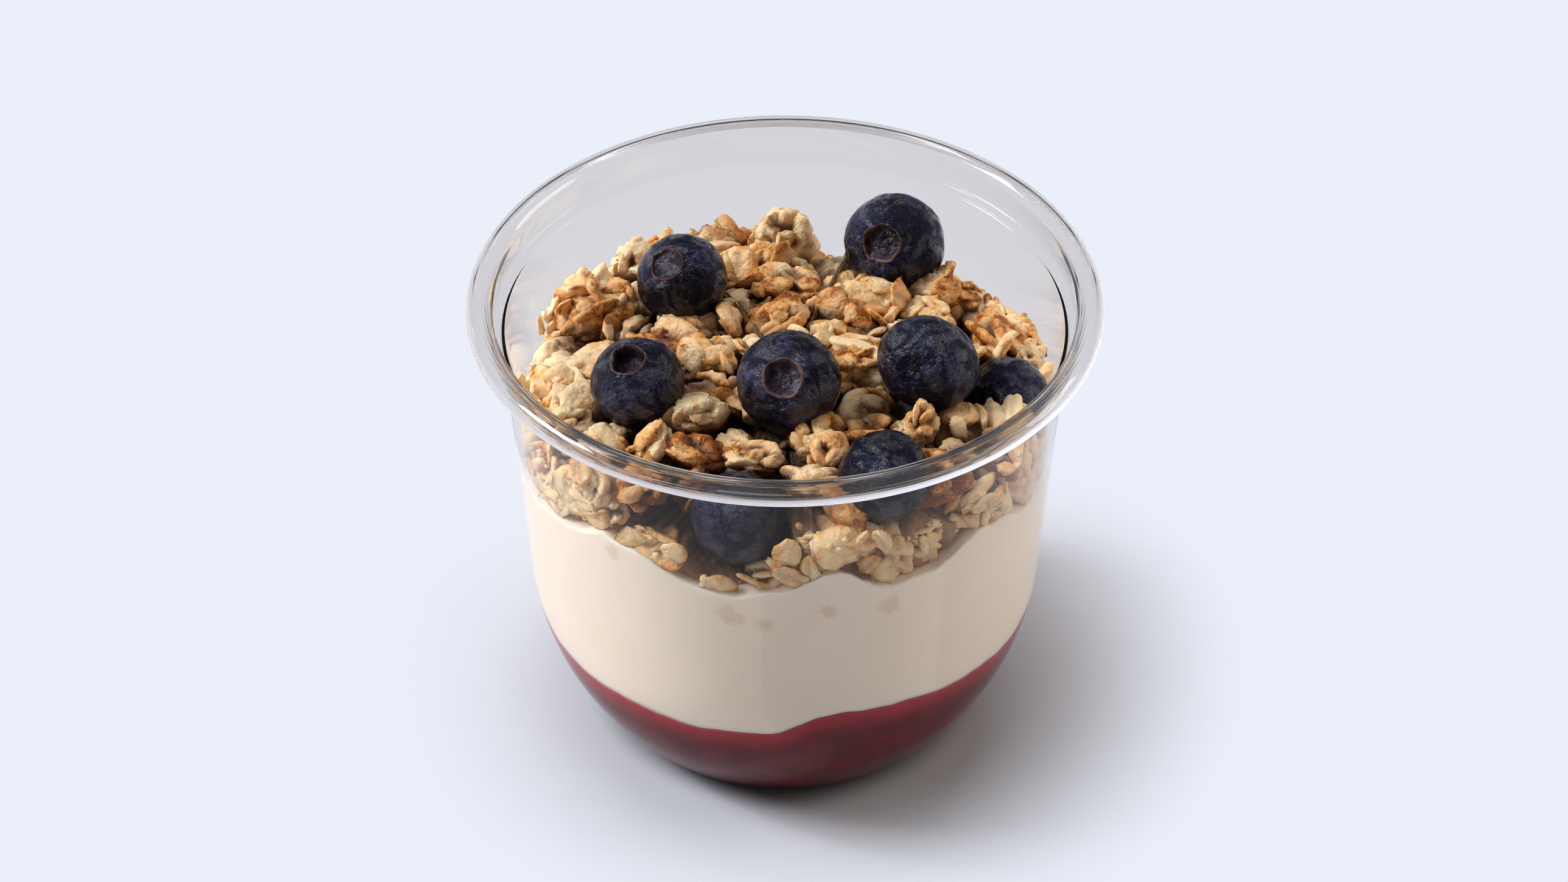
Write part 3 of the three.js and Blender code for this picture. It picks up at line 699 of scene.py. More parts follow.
def lay_tree():
    """Lays one of the forms at each point, by the point's own turn, size and form number, then
    presses what would pass the cup's wall flat against it."""
    tree, given = new_geometry_tree("pieces_laid_at_points", {
        "Forms": "Collection", "Wall radius at the table": "Float", "Wall slope": "Float",
        "Finish": "Material"})
    get = given.outputs
    forms = add(tree, "GeometryNodeCollectionInfo", {
        "Collection": get["Forms"], "Separate Children": True, "Reset Children": True})
    turn = add(tree, "GeometryNodeInputNamedAttribute", {"Name": "turn"}, data_type="FLOAT_VECTOR")
    size = add(tree, "GeometryNodeInputNamedAttribute", {"Name": "size"}, data_type="FLOAT_VECTOR")
    form = add(tree, "GeometryNodeInputNamedAttribute", {"Name": "form"}, data_type="INT")
    slack = add(tree, "GeometryNodeInputNamedAttribute", {"Name": "slack"}, data_type="FLOAT")
    rotation = add(tree, "FunctionNodeEulerToRotation", {0: turn.outputs[0]})
    laid = add(tree, "GeometryNodeInstanceOnPoints", {
        "Points": get["Geometry"], "Instance": forms.outputs[0], "Pick Instance": True,
        "Instance Index": form.outputs[0], "Rotation": rotation.outputs[0], "Scale": size.outputs[0]})
    real = add(tree, "GeometryNodeRealizeInstances", {"Geometry": laid.outputs[0]})
    place = add(tree, "GeometryNodeInputPosition")
    parts = add(tree, "ShaderNodeSeparateXYZ", {0: place.outputs[0]})
    plan = add(tree, "ShaderNodeCombineXYZ", {0: parts.outputs[0], 1: parts.outputs[1]})
    radius = add(tree, "ShaderNodeVectorMath", {0: plan.outputs[0]}, operation="LENGTH")
    wall = add(tree, "ShaderNodeMath", {
        0: parts.outputs[2], 1: get["Wall slope"], 2: get["Wall radius at the table"]},
        operation="MULTIPLY_ADD")
    room = add(tree, "ShaderNodeMath", {0: wall.outputs[0], 1: slack.outputs[0]}, operation="SUBTRACT")
    share = add(tree, "ShaderNodeMath", {0: room.outputs[0], 1: radius.outputs[1]}, operation="DIVIDE")
    kept = add(tree, "ShaderNodeMath", {0: share.outputs[0], 1: 1.0}, operation="MINIMUM")
    pressed = add(tree, "ShaderNodeVectorMath", {0: plan.outputs[0], "Scale": kept.outputs[0]},
                  operation="SCALE")
    flat = add(tree, "ShaderNodeSeparateXYZ", {0: pressed.outputs[0]})
    moved = add(tree, "ShaderNodeCombineXYZ", {
        0: flat.outputs[0], 1: flat.outputs[1], 2: parts.outputs[2]})
    placed = add(tree, "GeometryNodeSetPosition", {
        "Geometry": real.outputs[0], "Position": moved.outputs[0]})
    end_geometry_tree(tree, placed.outputs[0], get["Finish"])
    return tree


def mark_painted_depth_shade(piece):
    """Marks how deep each point lies between the clusters, which sets the painted shade there; nothing next
    to the wall is deep.
    """
    depths = []
    for vertex in piece.data.vertices:
        x, y, z = vertex.co / MM
        inside = 1 - smoothstep(0.84 * HEAP_RADIUS, 0.96 * HEAP_RADIUS, hypot(x, y))
        depths.append(0.88 * inside * smoothstep(PAINTED_SHADE_FROM, PAINTED_SHADE_TO, heap_top(x, y) - z))
    piece.data.attributes.new("painted_depth_shade", "FLOAT", "POINT").data.foreach_set("value", depths)


def laid_pieces(name, places, forms, material):
    """One joined mesh of many pieces. A place is position, Euler turn, size, form and tone."""
    seed = bpy.data.meshes.new(name + ".seed")
    seed.from_pydata([[c * MM for c in place[0]] for place in places], [], [])
    columns = {"turn": ("FLOAT_VECTOR", "vector", 1), "size": ("FLOAT_VECTOR", "vector", 2),
               "form": ("INT", "value", 3), "tone": ("FLOAT", "value", 4)}
    for label, (kind, field, column) in columns.items():
        values = [place[column] for place in places]
        if field == "vector":
            values = [c for value in values for c in value]
        seed.attributes.new(label, kind, "POINT").data.foreach_set(field, values)
    spare = [WALL_CLEARANCE * MM * (1 + 5 * scatter(i, 30)) for i in range(len(places))]
    seed.attributes.new("slack", "FLOAT", "POINT").data.foreach_set("value", spare)
    group = bpy.data.collections.new(name + ".forms")
    for form in forms:
        group.objects.link(form)
    inset = SHEET / cos(wall_lean)
    piece = grown(name, seed, lay_tree(), {
        "Forms": group, "Finish": material, "Wall slope": tan(wall_lean),
        "Wall radius at the table": (BELLY_RADIUS - BELLY_HEIGHT * tan(wall_lean) - inset) * MM})
    for form in forms:
        bpy.data.objects.remove(form)
    bpy.data.collections.remove(group)
    mark_painted_depth_shade(piece)
    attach(piece, "root")
    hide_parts("granola_heap")
    return piece


def baked_oats(name, pale, golden, toasted, dark):
    """Baked oats in a thin syrup glaze: pale flat faces, golden to orange-brown where the oven
    caught the edges, with painted shade in creases and down between the clusters, red where a
    berry's juice soaked in; light enters a little way, the glaze glints."""
    material, tree, output = new_material(name)
    place = add(tree, "ShaderNodeTexCoord").outputs["Object"]
    tone = add(tree, "ShaderNodeAttribute", attribute_name="tone").outputs["Fac"]
    toast = add(tree, "ShaderNodeAttribute", attribute_name="toast").outputs["Fac"]
    crease = add(tree, "ShaderNodeAttribute", attribute_name="crease").outputs["Fac"]
    blotch = add(tree, "ShaderNodeTexNoise", {
        "Vector": place, "Scale": 1 / (3.2 * MM), "Detail": 4.0, "Roughness": 0.6})
    fibre = add(tree, "ShaderNodeTexNoise", {
        "Vector": place, "Scale": 1 / (0.45 * MM), "Detail": 3.0, "Roughness": 0.65})
    heat = add(tree, "ShaderNodeMath", {0: blotch.outputs[0], 1: 0.9, 2: tone}, operation="MULTIPLY_ADD")
    heat = add(tree, "ShaderNodeMath", {0: toast, 1: 0.14, 2: heat.outputs[0]}, operation="MULTIPLY_ADD")
    heat = add(tree, "ShaderNodeMath", {
        0: fibre.outputs[0], 1: 0.25, 2: heat.outputs[0]}, operation="MULTIPLY_ADD")
    colour = add(tree, "ShaderNodeValToRGB", {"Fac": heat.outputs[0]})
    ramp = colour.color_ramp
    ramp.elements[0].position = 0.63
    ramp.elements[0].color = linear(pale)
    ramp.elements[1].position = 0.87
    ramp.elements[1].color = linear(golden)
    ramp.elements.new(0.97).color = linear(toasted)
    painted_depth_shade = add(tree, "ShaderNodeAttribute", attribute_name="painted_depth_shade").outputs["Fac"]
    # painted shade: creases and gaps between oats, and points deep between the clusters, go towards the last
    # colour
    fold = add(tree, "ShaderNodeMath", {0: crease, 1: 0.8}, operation="MULTIPLY")
    painted_shade = add(tree, "ShaderNodeMath", {0: fold.outputs[0], 1: painted_depth_shade}, operation="MAXIMUM")
    oats_with_painted_shade = add(tree, "ShaderNodeMix", {
        0: painted_shade.outputs[0], 6: colour.outputs[0], 7: linear(dark)}, data_type="RGBA")
    spot = add(tree, "ShaderNodeVectorMath", {
        0: place, 1: [c * MM for c in JUICE_STAIN]}, operation="DISTANCE")
    soaked = add(tree, "ShaderNodeMapRange", {
        "Value": spot.outputs["Value"], "From Min": 1.0 * MM, "From Max": 2.3 * MM,
        "To Min": 0.85, "To Max": 0.0}, interpolation_type="SMOOTHSTEP")
    stained = add(tree, "ShaderNodeMix", {
        0: soaked.outputs[0], 6: oats_with_painted_shade.outputs[2], 7: linear("#640c20")}, data_type="RGBA")
    relief = add(tree, "ShaderNodeBump", {
        "Height": fibre.outputs[0], "Strength": 0.8, "Distance": 0.22 * MM})
    knobs = add(tree, "ShaderNodeTexNoise", {
        "Vector": place, "Scale": 1 / (1.3 * MM), "Detail": 2.0, "Roughness": 0.5})
    waves = add(tree, "ShaderNodeBump", {
        "Height": knobs.outputs[0], "Strength": 0.8, "Distance": 0.7 * MM, "Normal": relief.outputs[0]})
    oats = add(tree, "ShaderNodeBsdfPrincipled", {
        "Base Color": stained.outputs[2], "Roughness": 0.48, "Specular IOR Level": 0.35,
        "Subsurface Weight": 0.35, "Subsurface Radius": (1.0, 0.55, 0.25), "Subsurface Scale": 1.1 * MM,
        "Normal": waves.outputs[0]})
    tree.links.new(oats.outputs[0], output.inputs["Surface"])
    return material


def ball_form(name, rings, segments, roughness, seed):
    """A rough closed ball of diameter 1, the start of lumps, crumbs and puffs."""
    points, faces = [(0, 0, -0.5)], []
    for i in range(1, rings):
        down = pi * i / rings
        for j in range(segments):
            turn = 2 * pi * j / segments
            way = Vector((sin(down) * cos(turn), sin(down) * sin(turn), -cos(down)))
            push = noise.fractal(way * 1.7 + Vector((seed * 9.7, 0, 0)), 0.8, 2.1, 3)
            points.append(way * 0.5 * (1 + roughness * push))
    points.append((0, 0, 0.5))
    top = len(points) - 1
    for j in range(segments):
        k = (j + 1) % segments
        faces.append((0, 1 + k, 1 + j))
        for i in range(rings - 2):
            a, b = 1 + i * segments, 1 + (i + 1) * segments
            faces.append((a + j, a + k, b + k, b + j))
        faces.append((top - segments + j, top - segments + k, top))
    return points, faces


def form_object(name, points, faces, toast=None, crease=None):
    """A form to be laid many times; its size is in millimetres once the place scales it."""
    mesh = bpy.data.meshes.new(name)
    mesh.from_pydata([[c * MM for c in point] for point in points], [], faces)
    for label, values in (("toast", toast), ("crease", crease)):
        mesh.attributes.new(label, "FLOAT", "POINT").data.foreach_set("value", values or [0.0] * len(points))
    return bpy.data.objects.new(name, mesh)


def facing(normal, spin, tip):
    """The turn that faces a piece along a direction, spun about it and then tipped."""
    towards = Vector((0, 0, 1)).rotation_difference(Vector(normal).normalized())
    return towards @ Quaternion((0, 0, 1), spin) @ Quaternion((1, 0, 0), tip)


def glazed_oats(index, count):
    """The oats of a cluster of diameter 1: centre, turn, half sizes, groove depth and toast."""
    oats = []
    for k in range(count):
        key = index * 100 + k
        height = 1 - 2 * (k + 0.5) / count
        around = k * GOLDEN_TURN + 2 * pi * scatter(index, 60)
        flat = sqrt(1 - height * height)
        way = Vector((flat * cos(around), flat * sin(around), height))
        stands = scatter(key, 61) > 0.7
        tip = lerp(0.9, 1.5, scatter(key, 62)) if stands else lerp(-0.6, 0.6, scatter(key, 62))
        length = lerp(*OAT_LENGTH, scatter(key, 63)) * sqrt(OATS_IN_A_CLUSTER / count)
        half = Vector((0.5 * length, 0.5 * length * lerp(0.55, 0.9, scatter(key, 64)),
                       lerp(*OAT_THICKNESS, scatter(key, 65))))
        turn = facing(way, 2 * pi * scatter(key, 66), tip).to_matrix()
        centre = way * lerp(0.22 if stands else 0.28, 0.46, scatter(key, 67))
        groove = max(0.0, lerp(-0.05, 0.045, scatter(key, 68)))
        oats.append((centre, turn.transposed(), half, groove, scatter(key, 69)))
    return oats


def cluster_form(index, rings, segments):
    """A cluster of diameter 1, seen from its middle: the farthest oat along each direction.
    Some clusters are a few large flakes, some many small crumbly ones."""
    oats = glazed_oats(index, round(OATS_IN_A_CLUSTER * lerp(0.7, 1.7, scatter(index, 59))))
    points, faces = ball_form("cluster", rings, segments, 0.0, 0)
    shaped, toast, crease = [], [], []
    for point in points:
        way = Vector(point).normalized()
        far, near, baked, line = 0.25 + 0.05 * noise.noise(way * 5 + Vector((index, 0, 0))), 0.0, 0.9, 0.0
        for number, (centre, turn, half, groove, oat_toast) in enumerate(oats):
            start, along = turn @ -centre, turn @ way
            start = Vector([start[c] / half[c] for c in range(3)])
            along = Vector([along[c] / half[c] for c in range(3)])
            a, b = along.dot(along), start.dot(along)
            inside = b * b - a * (start.dot(start) - 1)
            if inside > 0:
                hit = (sqrt(inside) - b) / a
                spot = start + hit * along
                in_groove = exp(-(spot.y / 0.2) ** 2) * max(0.0, 1 - spot.x ** 4)
                uneven = noise.noise(spot * 1.6 + Vector((number * 3.1, index, 0)))
                hit += 0.045 * uneven - groove * in_groove
                if hit > far:
                    far, near, baked = hit, far, oat_toast
                    line = in_groove * (groove > 0.012)
                elif hit > near:
                    near = hit
        # painted shade: high where two oats meet, where the surface sinks between them and along deep
        # grooves
        gap = 0.5 * exp(-((far - near) / 0.028) ** 2) + 1 - smoothstep(0.33, 0.45, far)
        rough = 0.014 * noise.noise(way * 9 + Vector((0, index, 0)))
        shaped.append(way * (far + rough))
        toast.append(baked)
        crease.append(min(1.0, gap + 0.15 * line))
    return form_object(f"cluster_{index:02d}", shaped, faces, toast, crease)


WALL_CLEARANCE = 0.06
JUICE_STAIN = (-18.8, 6.2, 65.6)
BERRY_SPARE = 0.12      # kept free beside a berry at the wall, as a share of the cluster's length
LOOSE_SPARE = 0.22      # kept free round any berry, as a share of a loose oat's length
OATS_IN_A_CLUSTER = 11
OAT_LENGTH, OAT_THICKNESS = (0.46, 0.84), (0.08, 0.15)      # within a cluster of diameter 1
# the last colour of each finish is its painted shade, used in creases, gaps and deep between clusters
oat_finish = baked_oats("baked_rolled_oats", "#ffdeac", "#e6a458", "#985514", "#562606")
crumb_finish = baked_oats("baked_oat_crumb", "#b08664", "#8a6248", "#5f4230", "#180802")


def hides_berry(place, spare):
    """True between a berry and the wall that it leans on."""
    outward = Vector((place.x, place.y, 0)).normalized()
    for b in BERRIES:
        away = place - Vector(b["at"])
        beyond = max(0.0, away.dot(outward))
        if (away - beyond * outward).length < 0.95 * b["radius"] + spare:
            return True
    return False


def cluster_places(lumps, forms, grow, settle):
    """Each lump as a cluster, somewhat larger than the lump and sunk or raised by its own amount."""
    places = []
    for index, at, turn, size in lumps:
        tilt = (radians(50) * (scatter(index, 21) - 0.5), radians(30) * (scatter(index, 25) - 0.5), turn)
        at = (at[0], at[1], at[2] + lerp(*settle, scatter(index, 26)))
        size = [grow * s for s in size]
        # clusters at the wall get a paler tone: painted light, making up for light lost in the plastic wall
        tone = 0.36 * scatter(index, 24) - (0.26 if is_at_wall(index) else 0.10)
        places.append((at, tilt, size, floor(forms * scatter(index, 23)), tone))
    return places


wall_clusters = wall_lumps(WALL_ROWS, FIRST_AT_WALL)
wall_bits = wall_lumps(WALL_FILLERS, FIRST_FILLER)
clusters = large_lumps() + top_lumps() + wall_clusters
for label, lumps, rings, segments, forms, grow, settle in (
        ("granola_large_clusters", large_lumps(), 42, 60, 10, 1.12, (0.0, 0.6)),
        ("granola_small_clusters", top_lumps(), 32, 46, 10, 1.08, (-1.9, 0.8)),
        ("granola_clusters_at_wall", wall_clusters, 32, 46, 8, 1.2, (-0.8, 0.8)),
        ("granola_bits_at_wall", wall_bits, 26, 38, 8, 0.85, (-0.8, 0.8))):
    shapes = [cluster_form(segments * 10 + i, rings, segments) for i in range(forms)]
    places = cluster_places(lumps, forms, grow, settle)
    if "wall" in label:
        places = [p for p in places if not hides_berry(Vector(p[0]), BERRY_SPARE * p[2][0])]
    laid_pieces(label, places, shapes, oat_finish)


def core_top(x, y):
    lumpy = ripple(x, y, 4.5, 1.6, 11) + ripple(x, y, 1.6, 0.5, 12)
    return heap_top(x, y) - CORE_DEPTH - CORE_DROP + lumpy


def core_under(x, y):
    return yogurt_top(x, y) - 1.2


core = layer(
    "granola_core", core_under, core_top, crumb_finish, [0.5, 0.9],
    [i / 40 for i in range(3, 40)], 14, SHEET + CORE_INSET)
for label in ("below_edge", "above_edge"):
    core.data.attributes.remove(core.data.attributes[label])
for vertex in core.data.vertices:       # hollows behind the wall, and room for the berries there
    spot = vertex.co / MM
    outward = Vector((spot.x, spot.y, 0)).normalized()
    outside = smoothstep(0.6 * HEAP_RADIUS, HEAP_RADIUS, hypot(spot.x, spot.y))
    pushed = outside * CORE_PITS * max(0.0, 0.1 + noise.noise(spot / 3.4) + 0.4 * noise.noise(spot / 1.4))
    for berry in BERRIES:
        away = spot - Vector(berry["at"])
        beyond = max(0.0, away.dot(outward))
        aside = (away - beyond * outward).length / berry["radius"]
        pushed = max(pushed, beyond * (1 - smoothstep(1.0, 1.2, aside)))
    vertex.co = (spot - pushed * outward) * MM
mark_painted_depth_shade(core)
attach(core, "root")
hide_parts("granola_heap")

# ---- Granola: the oats ---------------------------------------------------------------
# Rolled oats, each an oval flake 4 to 8 mm long, cupped and creased, thick with glaze,
# stuck to the clusters at all angles. Between them lie broken oats, kernels and crumbs.

FLAKE_STATIONS = 6
FLAKE_TOP = (-1.0, -0.8, -0.4, 0.0, 0.4, 0.8, 1.0)
FLAKE_UNDER = (-0.6, 0.0, 0.6)
FLAKE_FORMS = 16
KERNEL_FORMS = 8
CRUMB_FORMS = 4


def flake_form(index):
    """A rolled oat of length 1: an oval, swollen with glaze into two lobes along a crease, cupped
    and curled, with a ragged rim."""
    cup_depth = lerp(-0.02, 0.07, scatter(index, 41))
    curl = lerp(-0.06, 0.10, scatter(index, 42))
    twist = lerp(-0.06, 0.06, scatter(index, 43))
    thickness = lerp(0.13, 0.19, scatter(index, 44))
    half_width = lerp(0.31, 0.44, scatter(index, 45))
    crease_depth = max(0.0, lerp(-0.6, 0.75, scatter(index, 48)))
    taper = lerp(-0.3, 0.3, scatter(index, 49))
    points, toast, crease = [], [], []

    def put(u, v, side):
        shape = sqrt(max(0.0, 1 - abs(u) ** 2.4))
        rag = 1 + taper * u + 0.35 * noise.noise(Vector((u * 1.6, 3.0 * (v > 0), index * 2.7))) * abs(v)
        in_crease = v == 0 and side > 0 and abs(u) < 0.8
        swell = thickness * sqrt(max(0.0, 1 - abs(v) ** 2.6)) * shape ** 0.7
        swell *= (1 - crease_depth * in_crease) if side > 0 else -0.7
        bend = cup_depth * v * v + curl * u * u + twist * u * v
        wave = 0.13 * noise.noise(Vector((u * 1.9, v * 1.9, index * 3.3 + 0.5 * side)))
        points.append((0.5 * u, half_width * v * shape * rag, bend + wave + swell))
        toast.append(max(abs(v), abs(u)) ** 3)
        # painted shade along the flake's crease
        crease.append(0.35 * (in_crease and crease_depth > 0.2))
        return len(points) - 1

    stations = [sin(lerp(-1.25, 1.25, i / (FLAKE_STATIONS - 1))) for i in range(FLAKE_STATIONS)]
    start, end = put(-1.0, 0.0, 0), put(1.0, 0.0, 0)
    top = [[put(u, v, 1) for v in FLAKE_TOP] for u in stations]
    under = [[row[0], *[put(u, v, -1) for v in FLAKE_UNDER], row[-1]] for u, row in zip(stations, top)]
    faces = []
    for skin, order in ((top, 1), (under, -1)):
        for j in range(len(skin[0]) - 1):
            for i in range(FLAKE_STATIONS - 1):
                quad = (skin[i][j], skin[i + 1][j], skin[i + 1][j + 1], skin[i][j + 1])
                faces.append(quad[::order])
            faces.append((start, skin[0][j], skin[0][j + 1])[::order])
            faces.append((end, skin[-1][j + 1], skin[-1][j])[::order])
    return form_object(f"flake_{index:02d}", points, faces, toast, crease)


def kernel_form(index):
    """A broken oat of length 1: a knobbly splinter, longer than it is wide."""
    points, faces = ball_form("kernel", 6, 8, 0.45, index + 20)
    width, height = lerp(0.42, 0.75, scatter(index, 70)), lerp(0.34, 0.55, scatter(index, 71))
    shaped = [(z, x * width, y * height + 0.12 * z * z) for x, y, z in points]
    return form_object(f"kernel_{index}", shaped, faces)


def is_clear(place, spare):
    """True where a piece lies off the berries, above the yogurt and below the shoulder."""
    if hides_berry(place, 0.0):
        return False
    if any((Vector(b["at"]) - place).length < b["radius"] * b.get("long", 1) + spare for b in BERRIES):
        return False
    return yogurt_top(place.x, place.y) + 0.4 < place.z < SHOULDER_HEIGHT - 0.5


def tip_angle(share):
    """Most pieces lie nearly flat on the cluster, some stand up from it."""
    return radians(lerp(-28, 28, share / 0.7) if share < 0.7 else lerp(35, 85, (share - 0.7) / 0.3))


def over_lumps(per_area, length, lift, salt):
    """Places spread over each cluster's lumps, facing outwards."""
    places = []
    for number, (index, at, turn, size) in enumerate(clusters):
        count = ceil(per_area * (size[0] * size[1] + size[1] * size[2] + size[2] * size[0]) / 3)
        cluster_tone = 0.28 * scatter(index, 31)
        for k in range(count):
            key = salt + number * 97 + k
            height = 1 - (k + 0.5) / count * (1.9 if is_at_wall(index) else 1.25)
            around = k * GOLDEN_TURN + 2 * pi * scatter(index, 32)
            flat = sqrt(max(0, 1 - height * height))
            way = Vector((flat * cos(around), flat * sin(around), height))
            spin = Matrix.Rotation(turn, 3, "Z")
            normal = spin @ Vector([way[c] / size[c] for c in range(3)])
            reach = Vector([0.5 * size[c] * way[c] for c in range(3)]) * lerp(*lift, scatter(key, 33))
            place = Vector(at) + spin @ reach
            size_here = lerp(*length, scatter(key, 34) ** 1.5)
            if is_clear(place, LOOSE_SPARE * size_here):
                places.append((place, normal, tip_angle(scatter(key, 35)), size_here, key, cluster_tone))
    return places


def over_heap(count, length, lift, salt):
    """Places spread over the whole heap, facing up."""
    places = []
    for k in range(count):
        key = salt + k
        radius = (HEAP_RADIUS - 1.0) * sqrt((k + 0.5) / count)
        turn = k * GOLDEN_TURN + scatter(key, 36)
        x, y = radius * cos(turn), radius * sin(turn)
        place = Vector((x, y, heap_top(x, y) - CORE_DEPTH + lerp(*lift, scatter(key, 37))))
        normal = Vector((scatter(key, 38) - 0.5, scatter(key, 39) - 0.5, 1.0))
        size_here = lerp(*length, scatter(key, 34) ** 1.5)
        if is_clear(place, LOOSE_SPARE * size_here):
            tone = 0.22 * scatter(key, 31)
            places.append((place, normal, tip_angle(scatter(key, 35)), size_here, key, tone))
    return places


def along_wall(count, length, depth, salt):
    """Places just inside the wall, from the yogurt up to the heap's edge, facing out."""
    places = []
    for k in range(count):
        key = salt + k
        turn = k * GOLDEN_TURN
        x, y = HEAP_RADIUS * cos(turn), HEAP_RADIUS * sin(turn)
        z = lerp(yogurt_top(x, y) + 0.8, heap_top(x, y) + 0.5, scatter(key, 37))
        radius = wall_radius(z, SHEET) - lerp(*depth, scatter(key, 38))
        place = Vector((radius * cos(turn), radius * sin(turn), z))
        normal = Vector((cos(turn), sin(turn), 0.6 * (scatter(key, 39) - 0.5)))
        size_here = lerp(*length, scatter(key, 34) ** 1.5)
        if is_clear(place, LOOSE_SPARE * size_here):
            # oats at the wall get a paler tone: painted light, making up for light lost in the plastic wall
            tone = 0.25 * scatter(key, 31) - 0.15
            places.append((place, normal, tip_angle(scatter(key, 35)), size_here, key, tone))
    return places


def as_laid(places, forms, width=(1.0, 1.0), height=(1.0, 1.0)):
    """Adds spin, form and tone to places."""
    laid = []
    for place, normal, tip, length, key, tone in places:
        size = (length, length * lerp(*width, scatter(key, 51)), length * lerp(*height, scatter(key, 52)))
        turn = facing(normal, 2 * pi * scatter(key, 53), tip).to_euler()
        own_tone = 0.6 * tone + 0.12 * scatter(key, 55)
        laid.append((place, turn, size, floor(forms * scatter(key, 54)), own_tone))
    return laid


flakes = as_laid(
    over_lumps(0.12, (4.2, 7.8), (1.0, 1.2), 1000) + over_heap(110, (4.2, 7.6), (-0.4, 1.4), 20000)
    + along_wall(210, (4.4, 8.0), (0.6, 2.6), 30000), FLAKE_FORMS, (0.85, 1.2), (0.6, 1.0))
laid_pieces("granola_oat_flakes", flakes, [flake_form(i) for i in range(FLAKE_FORMS)], oat_finish)

kernels = as_laid(
    over_lumps(0.045, (1.8, 4.4), (1.02, 1.14), 50000) + over_heap(170, (2.2, 4.4), (-0.6, 1.0), 60000)
    + along_wall(200, (2.0, 4.8), (0.4, 2.4), 70000), KERNEL_FORMS, (0.8, 1.2), (0.8, 1.2))
laid_pieces("granola_kernels", kernels, [kernel_form(i) for i in range(KERNEL_FORMS)], oat_finish)

crumbs = as_laid(
    over_lumps(0.08, (0.7, 2.0), (1.04, 1.16), 80000) + over_heap(220, (0.6, 1.8), (-0.4, 1.0), 90000)
    + along_wall(260, (0.5, 1.8), (0.1, 1.4), 100000), CRUMB_FORMS, (0.7, 1.1), (0.6, 1.0))
crumb_forms = [form_object(f"crumb_{i}", *ball_form("crumb", 5, 7, 0.3, i + 40)) for i in range(CRUMB_FORMS)]
laid_pieces("granola_crumbs", crumbs, crumb_forms, oat_finish)

# ---- Floor, light and camera ---------------------------------------------------------
# A pale sweep under soft window light from the back left, with a weaker light on the right.

CAMERA_ELEVATION = radians(38.61)
CAMERA_DISTANCE = 650.0
LOOKS_AT = (-0.14, 0.0, 49.31)
SENSOR_WIDTH = 36.0
LENS = 94.6
SHADE_FROM, SHADE_TO = 26, 33       # radii between which a painted contact shadow darkens the board, close to the foot
EVEN_CENTRE, EVEN_FROM, EVEN_TO = (4, 7, 0), 36, 76     # where the flat pale blue takes over
SWEEP, SWEEP_HEIGHT = 6000.0, -0.05


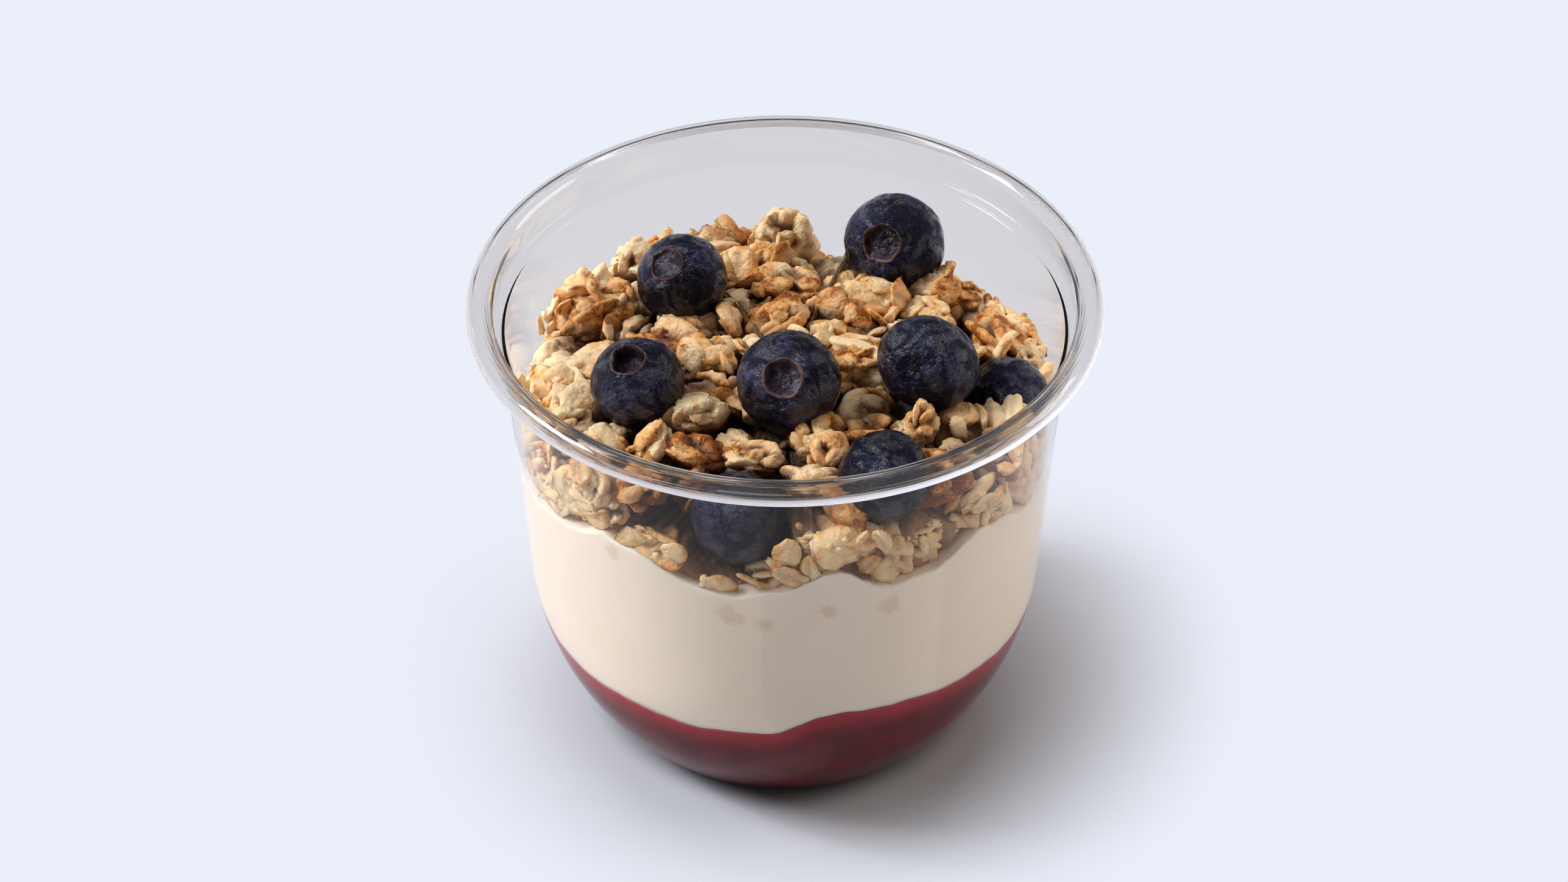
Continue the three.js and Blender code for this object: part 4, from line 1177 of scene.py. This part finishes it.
def pale_board():
    """A matt painted board, cool white and faintly mottled near the cup, with a painted contact shadow
    in the narrow gap round its foot; farther out it glows one even, flat pale blue."""
    material, tree, output = new_material("matt_painted_board")
    place = add(tree, "ShaderNodeTexCoord").outputs["Object"]
    mottle = add(tree, "ShaderNodeTexNoise", {"Vector": place, "Scale": 1 / (14 * MM), "Detail": 4.0})
    colour = add(tree, "ShaderNodeMix", {
        0: mottle.outputs[0], 6: linear("#e3e5ea"), 7: linear("#eaecf1")}, data_type="RGBA")
    # painted contact shadow: the board's colour is scaled down towards the axis, under the foot
    from_axis = add(tree, "ShaderNodeVectorMath", {0: place}, operation="LENGTH")
    painted_contact_shadow = add(tree, "ShaderNodeMapRange", {
        "Value": from_axis.outputs["Value"], "From Min": SHADE_FROM * MM, "From Max": SHADE_TO * MM,
        "To Min": 0.2, "To Max": 1.0}, interpolation_type="SMOOTHSTEP")
    painted_shade = add(tree, "ShaderNodeVectorMath", {
        0: colour.outputs[2], "Scale": painted_contact_shadow.outputs[0]}, operation="SCALE")
    board = add(tree, "ShaderNodeBsdfPrincipled", {
        "Base Color": painted_shade.outputs[0], "Roughness": 0.8, "Specular IOR Level": 0.2})
    even = add(tree, "ShaderNodeEmission", {"Color": linear("#ebeffa")})
    away = add(tree, "ShaderNodeVectorMath", {
        0: place, 1: [c * MM for c in EVEN_CENTRE]}, operation="DISTANCE")
    farther = add(tree, "ShaderNodeMapRange", {
        "Value": away.outputs["Value"], "From Min": EVEN_FROM * MM, "From Max": EVEN_TO * MM},
        interpolation_type="SMOOTHSTEP")
    seen = add(tree, "ShaderNodeMixShader", {0: farther.outputs[0], 1: board.outputs[0], 2: even.outputs[0]})
    tree.links.new(seen.outputs[0], output.inputs["Surface"])
    return material


def area_light(name, at, towards, width, height, power, colour):
    lamp = bpy.data.lights.new(name, "AREA")
    lamp.shape = "RECTANGLE"
    lamp.size, lamp.size_y = width * MM, height * MM
    lamp.energy = power
    lamp.color = linear(colour)[:3]
    light = bpy.data.objects.new(name, lamp)
    light.location = [c * MM for c in at]
    aim = Vector(towards) - Vector(at)
    light.rotation_euler = aim.to_track_quat("-Z", "Y").to_euler()
    bpy.context.scene.collection.objects.link(light)


sweep_corners = [(x * SWEEP, y * SWEEP, SWEEP_HEIGHT) for x, y in ((-1, -1), (1, -1), (1, 1), (-1, 1))]
sweep = new_piece("sweep", sweep_corners, [(0, 1, 2, 3)], pale_board())

area_light("window", (-3200, 300, 2700), (0, 0, 45), 1500, 1300, 136.0, "#f3f7ff")
area_light("window_core", (-3200, 500, 2800), (0, 0, 45), 260, 260, 20.0, "#ffffff")
area_light("overhead", (-200, 1500, 4000), (0, 0, 40), 3600, 420, 56.0, "#f6f8ff")
area_light("right_fill", (3200, 700, 1500), (0, 0, 50), 1800, 1500, 38.0, "#fff3e6")
area_light("room", (-600, -3200, 2300), (0, 0, 40), 1500, 240, 3.5, "#fff4ea")

world = bpy.data.worlds.new("room")
bpy.context.scene.world = world
world.use_nodes = True
background = world.node_tree.nodes["Background"]
background.inputs["Color"].default_value = linear("#d6d6dc")
background.inputs["Strength"].default_value = 0.13

camera_data = bpy.data.cameras.new("camera")
camera_data.sensor_width = SENSOR_WIDTH
camera_data.lens = LENS
camera_data.clip_end = 20.0
camera = bpy.data.objects.new("camera", camera_data)
ahead = Vector((0, cos(CAMERA_ELEVATION), -sin(CAMERA_ELEVATION)))
camera.location = (Vector(LOOKS_AT) - ahead * CAMERA_DISTANCE) * MM
camera.rotation_euler = ahead.to_track_quat("-Z", "Y").to_euler()
bpy.context.scene.collection.objects.link(camera)
bpy.context.scene.camera = camera
bpy.context.scene.view_settings.view_transform = "Standard"
